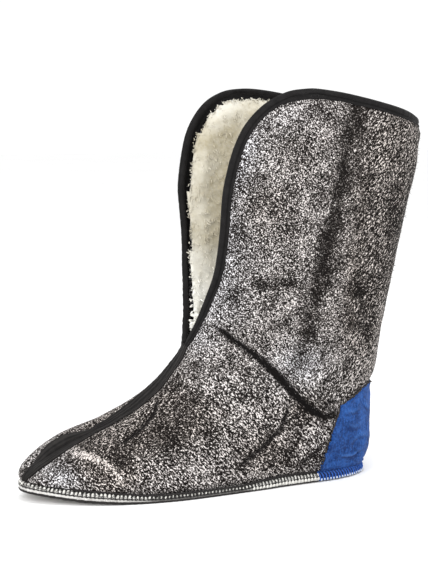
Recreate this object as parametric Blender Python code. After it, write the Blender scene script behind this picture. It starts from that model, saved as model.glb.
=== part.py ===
"""Insulated boot liner for the left foot: felt upper and sole, sewn edges, heel counter and bindings.

The form is worked out in millimetres, with x = 0 at the back of the heel, the toe at negative x,
the outer side of the foot at negative y and the floor at z = 0.
"""
import bmesh
import bpy
import numpy as np
from mathutils import Vector
from mathutils.bvhtree import BVHTree

MM = 0.001
WELD = 0.05 * MM

# Foot
FOOT_LENGTH = 271.0
BALL_SHARE = 0.70
TOE_SPRING = 7.0

# Layers from the floor up
SOLE_THICK = 5.7
FEATHER_HEIGHT = 6.0
INSOLE_LOW = 6.0
INSOLE_THICK = 5.0

# Walls, tapes and seams
WALL = 4.0
CLEARANCE = 0.3
COUNTER_THICK = 1.2
TAPE_THICK = 1.1
EDGE_BAND = 7.0
INSOLE_INSET = 4.8
SEAM_OUT = 3.5
SEAM_LOW = 0.8
SEAM_ROUND = 0.9
COUNTER_TURN = 128.0
FOOT_MARGIN = 1.2
SEAM_BREAK = 0.1

# Outline of the upper's foot edge: turn round the foot from toe to heel in degrees, half width on the
# outer side, half width on the inner side
OUTLINE = (
    (0, 0, 0),
    (25, 17, 22),
    (50, 37.5, 37),
    (75, 47.5, 42),
    (95, 43.5, 34.5),
    (115, 36, 29.5),
    (135, 31, 28),
    (155, 20.5, 19.5),
    (180, 0, 0),
)

# Centre line up the back of the heel and shaft: rise over the foot edge, x
BACK = (
    (0, 0),
    (14, 6),
    (36, 6.6),
    (60, 5.2),
    (70, 10.2),
    (110, 17.4),
    (150, 27),
    (195, 36.8),
    (237, 44.8),
    (264, 45),
)

# Sections of the upper. Each runs straight, seen from the side, from the foot edge (at its turn) or
# the back line (at its rise) to the vamp seam or, where the throat is open, to the throat edge.
SECTION_COLUMNS = (
    "turn", "rise", "front_x", "front_z", "open", "half_outer", "half_inner",
    "widest", "crown", "swell", "bow",
)
SECTIONS = (
    (0, 0, -270.4, 20, 0, 0, 0, 0.10, 2.0, 0, 0),
    (25, 0, -263.5, 26, 0, 17.5, 22.5, 0.10, 2.3, 5, 0),
    (50, 0, -241, 38, 0, 38.5, 38, 0.12, 2.5, 6.5, 0),
    (75, 0, -206, 51, 0, 48.5, 43.5, 0.14, 2.5, 6, 0),
    (95, 0, -180, 65, 0, 45.5, 40, 0.18, 2.4, 6, 0),
    (115, 0, -165, 78, 0, 42, 38, 0.25, 2.3, 5, 0),
    (135, 0, -156, 89.5, 0, 40.5, 38, 0.30, 2.2, 3.5, 0),
    (155, 0, -149.5, 99, 0, 40.5, 39, 0.35, 2.0, 2, 0),
    (165, 0, -147, 105, 0, 40.5, 39, 0.37, 2.0, 1, 0),
    (180, 0, -142.5, 119, 7, 40.5, 39.5, 0.40, 2.0, 0, 0),
    (180, 25, -137, 140, 17, 42, 41, 0.44, 2.0, 0, 0),
    (180, 60, -133.5, 165, 30, 45, 44, 0.47, 2.0, 0, 0),
    (180, 100, -132.5, 192, 37, 49, 48, 0.50, 2.0, 0, 0),
    (180, 140, -132.5, 215, 41, 52, 51, 0.50, 2.0, 0, 0),
    (180, 180, -128.5, 242, 45, 55, 54, 0.50, 2.0, 0, 0.2),
    (180, 213, -121, 265, 49, 57, 56, 0.50, 2.0, 0, 0.8),
    (180, 237, -107.5, 282, 53, 58.5, 57.5, 0.50, 2.0, 0, 1.8),
    (180, 249.5, -94, 290.5, 56, 59.5, 58.5, 0.50, 2.0, 0, 2.4),
    (180, 257.5, -83, 294, 57.5, 60, 59, 0.50, 2.0, 0, 2.7),
    (180, 264, -70, 295, 58.5, 60, 59, 0.50, 2.0, 0, 3),
)
THROAT_SECTION = 8
HEEL_SECTION = 9
SWELL_REACH = 0.42
BOW_SCALE = 27 / 4
INNER_OPEN = 1.06
OUTER_CROWN = 2.0
EDGE_BAND_SHARE = 0.4
CURVE_STEPS = 181
TINY = 1e-6
SIDES = (-1, 1)

# Facets of the upper: rows in each gap between sections, columns up each section
ROWS_IN_GAP = (3, 3, 3, 3, 2, 2, 1, 1, 2, 3, 3, 3, 2, 2, 2, 2, 2, 1, 1)
COLUMNS = 20

# Ankle dart, a trough along one section of the upper, deepest near the heel
DART_SECTION = 9.2
DART_SHARE = ((0, 0), (0.28, 0), (0.42, 1), (0.65, 1), (0.85, 0.45), (1, 0.2))
DART_DEPTH = 2.4

# Heel counter, seen from the side: foot, corner and top of its front edge, and its highest level
COUNTER_FOOT = (-52.0, FEATHER_HEIGHT)
COUNTER_CORNER = (-36.0, 58.0)
COUNTER_TOP = (-12.0, 70.0)
COUNTER_LEVEL = 70.5

# Cross-section of the collar binding: distance in from the edge, face of the wall, height off it
BINDING_START = 2.8
BINDING_CLEAR = 0.6
BINDING_PROFILE = (
    (EDGE_BAND, "outer", BINDING_CLEAR),
    (EDGE_BAND, "outer", 1.6),
    (0.6, "outer", 1.8),
    (-1.4, "outer", 0.6),
    (-1.8, "middle", 0.0),
    (-1.4, "inner", 0.6),
    (0.6, "inner", 1.8),
    (EDGE_BAND, "inner", 1.6),
    (EDGE_BAND, "inner", BINDING_CLEAR),
    (-BINDING_CLEAR, "inner", BINDING_CLEAR),
    (-BINDING_CLEAR, "outer", BINDING_CLEAR),
    (EDGE_BAND / 2, "outer", BINDING_CLEAR),
)

# Stations along the flat pieces and round the seams
SOLE_STATIONS = 30
SOLE_ACROSS = 6
SEAM_STEP = 5.0

# Finish of each piece: base colour, roughness, metallic
SHARP_ANGLE = 40.0
FINISHES = {
    "upper": ((0.24, 0.23, 0.22), 0.55, 0.5),
    "sole": ((0.62, 0.60, 0.56), 0.95, 0.0),
    "insole": ((0.78, 0.74, 0.62), 1.0, 0.0),
    "sole_seam": ((0.45, 0.44, 0.43), 0.9, 0.0),
    "heel_seam": ((0.02, 0.07, 0.30), 0.85, 0.0),
    "heel_counter": ((0.02, 0.09, 0.38), 0.8, 0.0),
    "collar_binding": ((0.02, 0.02, 0.02), 0.75, 0.0),
    "front_tape": ((0.025, 0.024, 0.024), 0.75, 0.0),
}


def clear_scene():
    """Remove whatever the scene holds."""
    for thing in list(bpy.data.objects):
        bpy.data.objects.remove(thing, do_unlink=True)


def steady_slopes(at, value):
    """Slopes at the rows of a table that keep the curve from overshooting between them."""
    step = np.diff(at)[:, None]
    rate = np.diff(value, axis=0) / step
    slope = np.zeros_like(value)
    slope[0] = rate[0]
    slope[-1] = rate[-1]
    before = 2 * step[1:] + step[:-1]
    after = step[1:] + 2 * step[:-1]
    same_way = rate[:-1] * rate[1:] > 0
    safe = np.where(same_way, rate[:-1], 1.0)
    safe_next = np.where(same_way, rate[1:], 1.0)
    mean = (before + after) / (before / safe + after / safe_next)
    slope[1:-1] = np.where(same_way, mean, 0.0)
    return slope


def curve_through(at, value):
    """Smooth curve through table rows: a function of the first column that gives the others."""
    at = np.asarray(at, float)
    value = np.asarray(value, float).reshape(len(at), -1)
    slope = steady_slopes(at, value)

    def curve(place):
        place = min(max(place, at[0]), at[-1])
        low = min(int(np.searchsorted(at, place, side="right")) - 1, len(at) - 2)
        gap = at[low + 1] - at[low]
        part = (place - at[low]) / gap
        rest = 1 - part
        from_low = (1 + 2 * part) * rest**2 * value[low] + part * rest**2 * gap * slope[low]
        from_high = part**2 * (3 - 2 * part) * value[low + 1] - part**2 * rest * gap * slope[low + 1]
        return from_low + from_high

    return curve


def table_curve(table):
    """Curve through a table whose first column is the place."""
    rows = np.asarray(table, float)
    return curve_through(rows[:, 0], rows[:, 1:])


outline_at = table_curve(OUTLINE)
back_at = table_curve(BACK)
dart_at = table_curve(DART_SHARE)
section_at = curve_through(range(len(SECTIONS)), SECTIONS)


def toe_spring(x):
    """Height of the sole's underside above the floor."""
    ball = -FOOT_LENGTH * BALL_SHARE
    past_ball = max(0.0, (ball - x) / (FOOT_LENGTH + ball))
    return TOE_SPRING * past_ball**2


def foot_edge(turn, side, inset=0.0):
    """Point of the foot's outline at a turn, on the floor plane, moved in by an inset."""
    half = outline_at(turn)[0 if side < 0 else 1]
    length = FOOT_LENGTH - 2 * inset
    x = -inset - length / 2 * (1 + np.cos(np.radians(turn)))
    return x, side * half * max(0.0, 1 - inset / max(half, inset + TINY))


def section_line(place, side):
    """Evenly spaced points up one section of the upper, with a narrow last band at its front end."""
    cut = dict(zip(SECTION_COLUMNS, section_at(place)))
    foot_x, foot_y = foot_edge(cut["turn"], side)
    back_x = foot_x + back_at(cut["rise"])[0]
    back_z = toe_spring(foot_x) + FEATHER_HEIGHT + cut["rise"]
    base = abs(foot_y)
    width = max(cut["half_outer" if side < 0 else "half_inner"], base, TINY)
    crown = OUTER_CROWN if side < 0 else cut["crown"]
    swell = 0.0 if side < 0 else cut["swell"]
    widest = cut["widest"]
    gap = min(cut["open"] * (1.0 if side < 0 else INNER_OPEN), width) / width

    quarter = np.linspace(0, np.pi / 2, CURVE_STEPS)
    low_share = np.linspace(0, widest, CURVE_STEPS)[:-1]
    share = np.concatenate([low_share, widest + (1 - widest) * np.sin(quarter)])
    below = np.clip((widest - share) / widest, 0, 1)
    above = np.clip((share - widest) / (1 - widest), 0, 1)
    low_half = np.sqrt(np.clip(1 - (1 - (base / width) ** 2) * below**2, 0, 1))
    high_half = (gap**crown + (1 - gap**crown) * (1 - above**crown)) ** (1 / crown)
    half = np.where(share < widest, low_half, high_half)
    hump = half / SWELL_REACH * np.exp(1 - half / SWELL_REACH)
    rest = np.exp(1 - 1 / SWELL_REACH) / SWELL_REACH
    lift = np.where(share < widest, 0, swell * (hump - rest * half**4))
    lift = lift + cut["bow"] * BOW_SCALE * share**2 * (1 - share)

    points = np.stack([
        back_x + (cut["front_x"] - back_x) * share,
        side * width * half,
        back_z + (cut["front_z"] - back_z) * share + lift,
    ], axis=-1)
    run = np.concatenate([[0], np.cumsum(np.linalg.norm(np.diff(points, axis=0), axis=1))])
    band = min(EDGE_BAND, EDGE_BAND_SHARE * run[-1])
    stops = np.append(np.linspace(0, run[-1] - band, COLUMNS), run[-1])
    return np.stack([np.interp(stops, run, points[:, axis]) for axis in range(3)], axis=-1)


def row_places():
    """Places of the mesh rows along the sections."""
    places = [0.0]
    for gap, rows in enumerate(ROWS_IN_GAP):
        places.extend(gap + (step + 1) / rows for step in range(rows))
    nearest = min(range(len(places)), key=lambda row: abs(places[row] - DART_SECTION))
    places[nearest] = DART_SECTION
    return places


ROW_PLACES = row_places()
SKIN = {side: np.array([section_line(place, side) for place in ROW_PLACES]) for side in SIDES}


def add_mapped_grid(mesh, rows, columns, place):
    """Add a grid of rows by columns faces, its corners at place(row, column) in millimetres."""
    corners = bmesh.ops.create_grid(mesh, x_segments=rows, y_segments=columns, size=0.5)["verts"]
    placed = []
    for corner in corners:
        row = round((corner.co.x + 0.5) * rows)
        column = round((corner.co.y + 0.5) * columns)
        corner.co = Vector(place(row, column)) * MM
        placed.append((corner, row, column))
    return placed


def skin_mesh():
    """Outer face of the upper, both halves welded, with its outward directions kept in a layer."""
    mesh = bmesh.new()
    share_layer = mesh.verts.layers.float.new("share")
    dart_layer = mesh.verts.layers.float.new("dart")
    foot_layer = mesh.verts.layers.float.new("foot")
    for side in SIDES:
        points = SKIN[side]
        placed = add_mapped_grid(mesh, len(ROW_PLACES) - 1, COLUMNS, lambda *cell: points[cell])
        for corner, row, column in placed:
            corner[share_layer] = column / COLUMNS
            corner[dart_layer] = float(ROW_PLACES[row] == DART_SECTION)
            corner[foot_layer] = float(column == 0 and ROW_PLACES[row] <= HEEL_SECTION)
    bmesh.ops.remove_doubles(mesh, verts=mesh.verts, dist=WELD)
    bmesh.ops.triangulate(mesh, faces=mesh.faces)
    bmesh.ops.recalc_face_normals(mesh, faces=mesh.faces)
    top_back = max(mesh.faces, key=lambda face: face.calc_center_median().x)
    if top_back.normal.x < 0:
        bmesh.ops.reverse_faces(mesh, faces=mesh.faces)
    mesh.normal_update()
    for corner in mesh.verts:
        sink = DART_DEPTH * MM * corner[dart_layer] * dart_at(corner[share_layer])[0]
        corner.co -= corner.normal * sink
    mesh.normal_update()
    out = mesh.verts.layers.float_vector.new("out")
    for corner in mesh.verts:
        level = Vector((1, 1, 1 - corner[foot_layer]))
        corner[out] = (corner.normal * level).normalized()
    return mesh


def thicken(mesh, low, high):
    """Turn an open piece of the skin into a closed wall between two heights off the skin."""
    out = mesh.verts.layers.float_vector["out"]
    for corner in mesh.verts:
        corner.co += corner[out].normalized() * low * MM
    grown = bmesh.ops.extrude_face_region(mesh, geom=list(mesh.faces))["geom"]
    for corner in grown:
        if isinstance(corner, bmesh.types.BMVert):
            corner.co += corner[out].normalized() * (high - low) * MM
    bmesh.ops.recalc_face_normals(mesh, faces=mesh.faces)


def keep_side(mesh, point, normal):
    """Cut a mesh by a plane through a side-view point and drop what its normal points to."""
    bmesh.ops.bisect_plane(
        mesh,
        geom=list(mesh.verts) + list(mesh.edges) + list(mesh.faces),
        dist=WELD,
        plane_co=Vector((point[0], 0, point[1])) * MM,
        plane_no=Vector((normal[0], 0, normal[1])),
        clear_outer=True,
    )


def finish_material(name):
    """Principled material of one piece."""
    colour, roughness, metallic = FINISHES[name]
    material = bpy.data.materials.new(name)
    material.use_nodes = True
    shader = material.node_tree.nodes["Principled BSDF"]
    shader.inputs["Base Color"].default_value = (*colour, 1.0)
    shader.inputs["Roughness"].default_value = roughness
    shader.inputs["Metallic"].default_value = metallic
    return material


def add_piece(name, mesh, collection, parent):
    """Make one named object from a bmesh, shaded smooth, under the liner's parent."""
    data = bpy.data.meshes.new(name)
    mesh.to_mesh(data)
    mesh.free()
    data.shade_smooth()
    data.set_sharp_from_angle(angle=np.radians(SHARP_ANGLE))
    data.materials.append(finish_material(name))
    piece = bpy.data.objects.new(name, data)
    piece.parent = parent
    collection.objects.link(piece)
    return piece


def upper_mesh(skin):
    """Hollow felt wall, open at the collar, the throat and underneath."""
    mesh = skin.copy()
    thicken(mesh, -WALL, 0.0)
    return mesh


def counter_mesh(skin):
    """Heel panel, a piece of the skin behind its front edge and under its top edge."""
    mesh = skin.copy()
    foot, corner, top = COUNTER_FOOT, COUNTER_CORNER, COUNTER_TOP
    keep_side(mesh, foot, (foot[1] - corner[1], corner[0] - foot[0]))
    keep_side(mesh, corner, (corner[1] - top[1], top[0] - corner[0]))
    keep_side(mesh, (0.0, COUNTER_LEVEL), (0, 1))
    keep_side(mesh, (0.0, FEATHER_HEIGHT + FOOT_MARGIN), (0, -1))
    thicken(mesh, CLEARANCE, CLEARANCE + COUNTER_THICK)
    return mesh


def tape_mesh(skin):
    """Tape over the vamp seam, the last band of the sections on both sides, below the throat."""
    mesh = skin.copy()
    share = mesh.verts.layers.float["share"]
    last_band = (COLUMNS - 1) / COLUMNS - TINY
    throat_z = SECTIONS[THROAT_SECTION][SECTION_COLUMNS.index("front_z")] * MM
    outside = [
        face for face in mesh.faces
        if min(corner[share] for corner in face.verts) < last_band
        or max(corner.co.z for corner in face.verts) > throat_z + WELD
    ]
    bmesh.ops.delete(mesh, geom=outside, context="FACES")
    thicken(mesh, CLEARANCE, CLEARANCE + TAPE_THICK)
    return mesh


def plan_edge(turns, side, inset=0.0):
    """Outline points at some turns as an array."""
    return np.array([foot_edge(turn, side, inset) for turn in turns])


def board_mesh(low, thick, inset):
    """Flat felt piece of the foot's outline that follows the toe spring."""
    turns = np.linspace(0, 180, SOLE_STATIONS + 1)
    outer = plan_edge(turns, -1, inset)
    inner = plan_edge(turns, 1, inset)

    def place(row, column):
        x, y = outer[row] + (inner[row] - outer[row]) * column / SOLE_ACROSS
        return x, y, low + toe_spring(x)

    mesh = bmesh.new()
    add_mapped_grid(mesh, SOLE_STATIONS, SOLE_ACROSS, place)
    bmesh.ops.remove_doubles(mesh, verts=mesh.verts, dist=WELD)
    grown = bmesh.ops.extrude_face_region(mesh, geom=list(mesh.faces))["geom"]
    top = [corner for corner in grown if isinstance(corner, bmesh.types.BMVert)]
    bmesh.ops.translate(mesh, verts=top, vec=(0, 0, thick * MM))
    bmesh.ops.recalc_face_normals(mesh, faces=mesh.faces)
    return mesh


def seam_path(first, last):
    """Outline stations from a turn on the outer side to one on the inner side, round one end."""
    steps = max(2, round(abs(last - first) / SEAM_STEP))
    half = np.linspace(first, last, steps + 1)
    there = plan_edge(half, -1)
    back = plan_edge(half[-2::-1], 1)
    return np.concatenate([there, back])


def seam_mesh(first, last):
    """Overlocked edge with rounded outer corners, along one end of the outline."""
    path = seam_path(first, last)
    along = np.gradient(path, axis=0)
    along /= np.linalg.norm(along, axis=1)[:, None]
    out = np.stack([along[:, 1], -along[:, 0]], axis=-1)
    centre = path.mean(axis=0)
    if np.sum((path - centre) * out) < 0:
        out = -out
    high = FEATHER_HEIGHT - CLEARANCE
    profile = (
        (CLEARANCE, SEAM_LOW),
        (SEAM_OUT - SEAM_ROUND, SEAM_LOW),
        (SEAM_OUT, SEAM_LOW + SEAM_ROUND),
        (SEAM_OUT, high - SEAM_ROUND),
        (SEAM_OUT - SEAM_ROUND, high),
        (CLEARANCE, high),
    )

    def place(row, column):
        reach, height = profile[column % len(profile)]
        x, y = path[row] + out[row] * reach
        return x, y, height + toe_spring(path[row][0])

    return closed_strip(len(path) - 1, len(profile), place)


def closed_strip(rows, around, place):
    """Closed bar: a profile carried along a path, with both ends filled."""
    mesh = bmesh.new()
    add_mapped_grid(mesh, rows, around, place)
    bmesh.ops.remove_doubles(mesh, verts=mesh.verts, dist=WELD)
    ends = [edge for edge in mesh.edges if edge.is_boundary]
    bmesh.ops.holes_fill(mesh, edges=ends, sides=0)
    bmesh.ops.recalc_face_normals(mesh, faces=mesh.faces)
    return mesh


def binding_path():
    """Edge points from one throat edge over the collar to the other, with outward directions."""
    points = []
    outs = []
    for side in SIDES:
        skin = SKIN[side]
        up = np.gradient(skin, axis=0)
        forward = np.gradient(skin, axis=1)
        out = np.cross(forward, up) * -side
        out /= np.maximum(np.linalg.norm(out, axis=-1), TINY)[..., None]
        if np.mean(out[-1, :, 1]) * side < 0:
            out = -out
        throat = [row for row in range(len(ROW_PLACES)) if abs(skin[row, -1, 1]) > BINDING_START]
        collar = [(len(ROW_PLACES) - 1, column) for column in range(COLUMNS)[::-1]]
        edge = [(row, COLUMNS) for row in throat] + collar
        points.append([skin[row, column] for row, column in edge])
        outs.append([out[row, column] for row, column in edge])
    back = np.asarray(outs[0][-1]) + np.asarray(outs[1][-1])
    outs[0][-1] = back / np.linalg.norm(back)
    points = np.array(points[0] + points[1][-2::-1])
    outs = np.array(outs[0] + outs[1][-2::-1])
    return points, outs


def binding_mesh(skin):
    """Tape folded over the collar rim and both throat edges."""
    inner = skin.copy()
    layer = inner.verts.layers.float_vector["out"]
    for corner in inner.verts:
        corner.co -= corner[layer] * WALL * MM
    faces = {"outer": BVHTree.FromBMesh(skin), "inner": BVHTree.FromBMesh(inner)}
    points, outs = binding_path()
    along = np.gradient(points, axis=0)
    along /= np.linalg.norm(along, axis=1)[:, None]
    inward = np.cross(outs, along)
    inward /= np.linalg.norm(inward, axis=1)[:, None]
    if inward[len(inward) // 2][2] > 0:
        inward = -inward
    depth = {"outer": 0.0, "middle": WALL / 2, "inner": WALL}
    sign = {"outer": 1.0, "middle": 0.0, "inner": -1.0}

    def place(row, column):
        reach, face, height = BINDING_PROFILE[column % len(BINDING_PROFILE)]
        point = points[row] - outs[row] * depth[face] + inward[row] * reach
        if reach > 0:
            nearest = faces[face].find_nearest(Vector(point) * MM)[0]
            point = np.array(nearest) / MM
        return point + outs[row] * sign[face] * height

    mesh = closed_strip(len(points) - 1, len(BINDING_PROFILE), place)
    inner.free()
    return mesh


def centre_on_floor(pieces, parent):
    """Move the parent so that the middle of the liner's box stands over the origin."""
    corners = np.array([corner.co for piece in pieces for corner in piece.data.vertices])
    low, high = corners.min(axis=0), corners.max(axis=0)
    parent.location = (-(low[0] + high[0]) / 2, -(low[1] + high[1]) / 2, -low[2])


def build_liner():
    """Make every piece of the liner in its own collection."""
    clear_scene()
    collection = bpy.data.collections.new("insulated_boot_liner")
    bpy.context.scene.collection.children.link(collection)
    parent = bpy.data.objects.new("liner_origin", None)
    collection.objects.link(parent)
    skin = skin_mesh()
    meshes = {
        "sole": board_mesh(0.0, SOLE_THICK, 0.0),
        "insole": board_mesh(INSOLE_LOW, INSOLE_THICK, INSOLE_INSET),
        "upper": upper_mesh(skin),
        "heel_counter": counter_mesh(skin),
        "front_tape": tape_mesh(skin),
        "collar_binding": binding_mesh(skin),
        "sole_seam": seam_mesh(COUNTER_TURN - SEAM_BREAK, 0),
        "heel_seam": seam_mesh(COUNTER_TURN + SEAM_BREAK, 180),
    }
    skin.free()
    pieces = [add_piece(name, mesh, collection, parent) for name, mesh in meshes.items()]
    centre_on_floor(pieces, parent)


build_liner()
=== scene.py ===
"""Looks of an insulated boot liner: metallised felt, pile, bindings, sewn edges and a blue heel counter."""

import bmesh
import bpy
import numpy as np
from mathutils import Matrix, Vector
from mathutils.bvhtree import BVHTree
from mathutils.kdtree import KDTree

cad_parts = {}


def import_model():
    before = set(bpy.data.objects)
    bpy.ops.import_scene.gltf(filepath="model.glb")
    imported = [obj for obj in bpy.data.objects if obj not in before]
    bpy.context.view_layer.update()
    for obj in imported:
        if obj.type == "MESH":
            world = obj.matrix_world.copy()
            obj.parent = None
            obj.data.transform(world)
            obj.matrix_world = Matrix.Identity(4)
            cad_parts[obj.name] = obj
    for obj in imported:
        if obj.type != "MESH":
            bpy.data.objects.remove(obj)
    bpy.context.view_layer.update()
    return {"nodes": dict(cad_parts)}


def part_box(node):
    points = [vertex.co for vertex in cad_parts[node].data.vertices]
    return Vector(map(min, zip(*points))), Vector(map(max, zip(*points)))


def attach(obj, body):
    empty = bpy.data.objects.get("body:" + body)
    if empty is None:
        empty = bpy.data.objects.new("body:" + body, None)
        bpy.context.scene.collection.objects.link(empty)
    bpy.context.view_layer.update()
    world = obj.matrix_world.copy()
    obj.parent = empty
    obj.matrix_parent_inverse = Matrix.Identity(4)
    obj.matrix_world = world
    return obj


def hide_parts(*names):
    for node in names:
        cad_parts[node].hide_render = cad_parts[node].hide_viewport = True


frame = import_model()

MM = 0.001
RNG = np.random.default_rng(41)

# Form of the liner in millimetres: x = 0 at the heel, toe at -x, outer side at -y, floor at z = 0
FOOT_LENGTH = 271.0
BALL_SHARE = 0.70
TOE_SPRING = 7.0
FEATHER_HEIGHT = 6.0
WALL = 4.0
COUNTER_TURN = 128.0
SOLE_STATIONS = 30
INSOLE_LOW = 6.0
INSOLE_THICK = 5.0
INSOLE_INSET = 4.8

# turn, half_outer, half_inner
OUTLINE = (
    (0, 0, 0),
    (25, 17, 22),
    (50, 37.5, 37),
    (75, 47.5, 42),
    (95, 43.5, 34.5),
    (115, 36, 29.5),
    (135, 31, 28),
    (155, 20.5, 19.5),
    (180, 0, 0),
)

# rise, back_x
BACK = (
    (0, 0),
    (14, 6),
    (36, 6.6),
    (60, 5.2),
    (70, 10.2),
    (110, 17.4),
    (150, 27),
    (195, 36.8),
    (237, 44.8),
    (264, 45),
)

SECTION_COLUMNS = (
    "turn", "rise", "front_x", "front_z", "open", "half_outer", "half_inner",
    "widest", "crown", "swell", "bow",
)
SECTIONS = (
    (0, 0, -270.4, 20, 0, 0, 0, 0.10, 2.0, 0, 0),
    (25, 0, -263.5, 26, 0, 17.5, 22.5, 0.10, 2.3, 5, 0),
    (50, 0, -241, 38, 0, 38.5, 38, 0.12, 2.5, 6.5, 0),
    (75, 0, -206, 51, 0, 48.5, 43.5, 0.14, 2.5, 6, 0),
    (95, 0, -180, 65, 0, 45.5, 40, 0.18, 2.4, 6, 0),
    (115, 0, -165, 78, 0, 42, 38, 0.25, 2.3, 5, 0),
    (135, 0, -156, 89.5, 0, 40.5, 38, 0.30, 2.2, 3.5, 0),
    (155, 0, -149.5, 99, 0, 40.5, 39, 0.35, 2.0, 2, 0),
    (165, 0, -147, 105, 0, 40.5, 39, 0.37, 2.0, 1, 0),
    (180, 0, -142.5, 119, 7, 40.5, 39.5, 0.40, 2.0, 0, 0),
    (180, 25, -137, 140, 17, 42, 41, 0.44, 2.0, 0, 0),
    (180, 60, -133.5, 165, 30, 45, 44, 0.47, 2.0, 0, 0),
    (180, 100, -132.5, 192, 37, 49, 48, 0.50, 2.0, 0, 0),
    (180, 140, -132.5, 215, 41, 52, 51, 0.50, 2.0, 0, 0),
    (180, 180, -128.5, 242, 45, 55, 54, 0.50, 2.0, 0, 0.2),
    (180, 213, -121, 265, 49, 57, 56, 0.50, 2.0, 0, 0.8),
    (180, 237, -107.5, 282, 53, 58.5, 57.5, 0.50, 2.0, 0, 1.8),
    (180, 249.5, -94, 290.5, 56, 59.5, 58.5, 0.50, 2.0, 0, 2.4),
    (180, 257.5, -83, 294, 57.5, 60, 59, 0.50, 2.0, 0, 2.7),
    (180, 264, -70, 295, 58.5, 60, 59, 0.50, 2.0, 0, 3),
)
THROAT = 8
HEEL = 9
TOP = len(SECTIONS) - 1
CURVE_POINTS = 181
BOOT_MIDDLE = (-90, 0, 90)
HEEL_MIDDLE = (-30, 0, 35)
SKIN_WELD = 0.02
STRIP_WELD = 0.01
PILE_WELD = 0.3
SWELL_REACH = 0.42
BOW_SCALE = 27 / 4
INNER_OPEN = 1.06
# How far the inner throat edge sags forward: place, distance
FAR_LEAN = ((8.0, 0.0), (8.6, 1.8), (9.2, 2.8), (10.0, 3.2), (10.6, 2.3), (11.4, 0.7), (12.6, 0.0))
SIDES = (-1, 1)
OUTER = -1
INNER = 1

# Folds of the felt seen from the side: name, side, depth, width, lip above, painted shade (negative for a
# painted highlight, as on the toe ridge), points along it
FOLDS = (
    ("dart start", OUTER, 3.2, 1.8, 1.8, 1.3, ((-132, 123.5), (-121, 113.6), (-101, 98), (-95.5, 92.7))),
    ("dart", OUTER, 3.8, 2.6, 2.0, 1.5,
     ((-104, 100.4), (-101, 98), (-88, 85.5), (-75, 71), (-62, 58.5), (-50, 51), (-43, 50.5), (-38, 53))),
    ("dart end", OUTER, 1.6, 1.4, 0.6, 0.8, ((-52, 61), (-44, 62), (-34, 61))),
    ("shaft trough", OUTER, 2.0, 6.5, 0.0, 0.37,
     ((-34, 292), (-37, 266), (-45, 222), (-48, 200), (-58, 155), (-64, 121), (-71, 98))),
    ("shaft crossing", OUTER, 1.5, 3.2, 0.5, 0.46,
     ((-107, 152), (-86, 155), (-54, 153), (-27, 145), (-8, 142))),
    ("back band", OUTER, 1.4, 7.0, 0.0, 0.36, ((-17, 148), (-12, 122), (-10, 98))),
    ("vamp fold", OUTER, 1.6, 1.0, 0.6, 0.9, ((-171, 71), (-173, 67), (-179, 59), (-192, 50), (-211, 40))),
    ("side fold", OUTER, 2.2, 1.8, 0.6, 0.85,
     ((-78, 66), (-80, 56), (-83, 47.5), (-88, 41.5), (-103, 30), (-123, 19))),
    ("side fold two", OUTER, 1.3, 2.6, 0.0, 0.55, ((-65, 46), (-77, 27), (-80, 13))),
    ("side fold three", OUTER, 1.3, 1.8, 0.3, 0.7, ((-47, 32), (-58, 22), (-70, 12))),
    ("vamp dent", OUTER, 1.3, 11.0, 0.0, 0.3, ((-182, 45), (-166, 42))),
    ("instep dent", OUTER, 1.1, 10.0, 0.0, 0.35, ((-150, 46), (-136, 43))),
    ("toe ridge", OUTER, -1.8, 2.4, 0.0, -0.84, ((-242, 36), (-230, 33), (-222, 29), (-215, 22), (-209, 12))),
    ("dart", INNER, 3.4, 1.8, 1.8, 1.4,
     ((-143, 130), (-136, 121), (-118, 108), (-98, 94), (-84, 79), (-70, 66), (-56, 56), (-44, 51))),
    ("shaft trough", INNER, 1.8, 5.5, 0.0, 0.38,
     ((-52, 292), (-56, 255), (-61, 210), (-66, 165), (-70, 120))),
    ("shaft crossing", INNER, 1.2, 4.0, 0.4, 0.28, ((-112, 160), (-80, 157), (-48, 150), (-15, 147))),
    ("back band", INNER, 1.2, 7.0, 0.0, 0.4, ((-14, 150), (-10, 120), (-8, 96))),
    ("vamp fold", INNER, 1.5, 2.4, 0.4, 0.7, ((-166, 74), (-176, 60), (-190, 47), (-204, 33))),
    ("side fold", INNER, 1.6, 2.2, 0.4, 0.7, ((-72, 45), (-90, 36), (-112, 24))),
    ("arch dent", INNER, 1.0, 12.0, 0.0, 0.3, ((-130, 30), (-95, 26))),
)
FOLD_FADE = 9.0
# In widths of a fold: where its lip stands, how wide the lip is and how wide its painted shade is
LIP_PLACE = 2.4
LIP_WIDTH = 2.6
SHADE_WIDTH = 1.15
# A fold with painted shade darker than this is drawn as a crease, a painted dark line which narrows to a
# share of its width at its ends
CREASE_SHADE = 0.65
CREASE_LIMIT = 6.0
CREASE_END_WIDTH = 0.4
CREASE_MARK = 0.4

# Share of the wall's thickness: by distance from the free edge, by x at the toe tip, by z behind the heel
EDGE_WALL = ((0.0, 0.45), (9.0, 1.0))
TIP_WALL = ((-266.0, 0.1), (-254.0, 1.0))
HEEL_WALL = ((7.0, 0.1), (14.0, 1.0))
HEEL_WALL_START = -14.0

# Unevenness by amount, wavelength and seed
FELT_RIPPLES = ((0.7, 55, 3), (0.3, 22, 4))
CLOTH_RIPPLES = ((0.6, 26, 9), (0.25, 9, 10))
PILE_LUMPS = ((0.8, 9, 21), (0.4, 5, 22), (0.8, 26, 23))
RAGGED_EDGE = ((0.9, 7, 31), (0.6, 3.2, 32))
FOOTBED_LUMPS = ((0.5, 8, 41), (0.4, 4, 42))

# Waves along a path by amount, wavelength and start
GATHERS = ((1.0, 8.5, 0.0), (0.6, 5.3, 1.0))
BINDING_PUCKER = ((0.10, 6.3, 0.0), (0.08, 4.1, 1.0))
SEAM_SWELL = ((0.18, 2.6, 0.0), (0.14, 7.1, 0.0))

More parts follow.
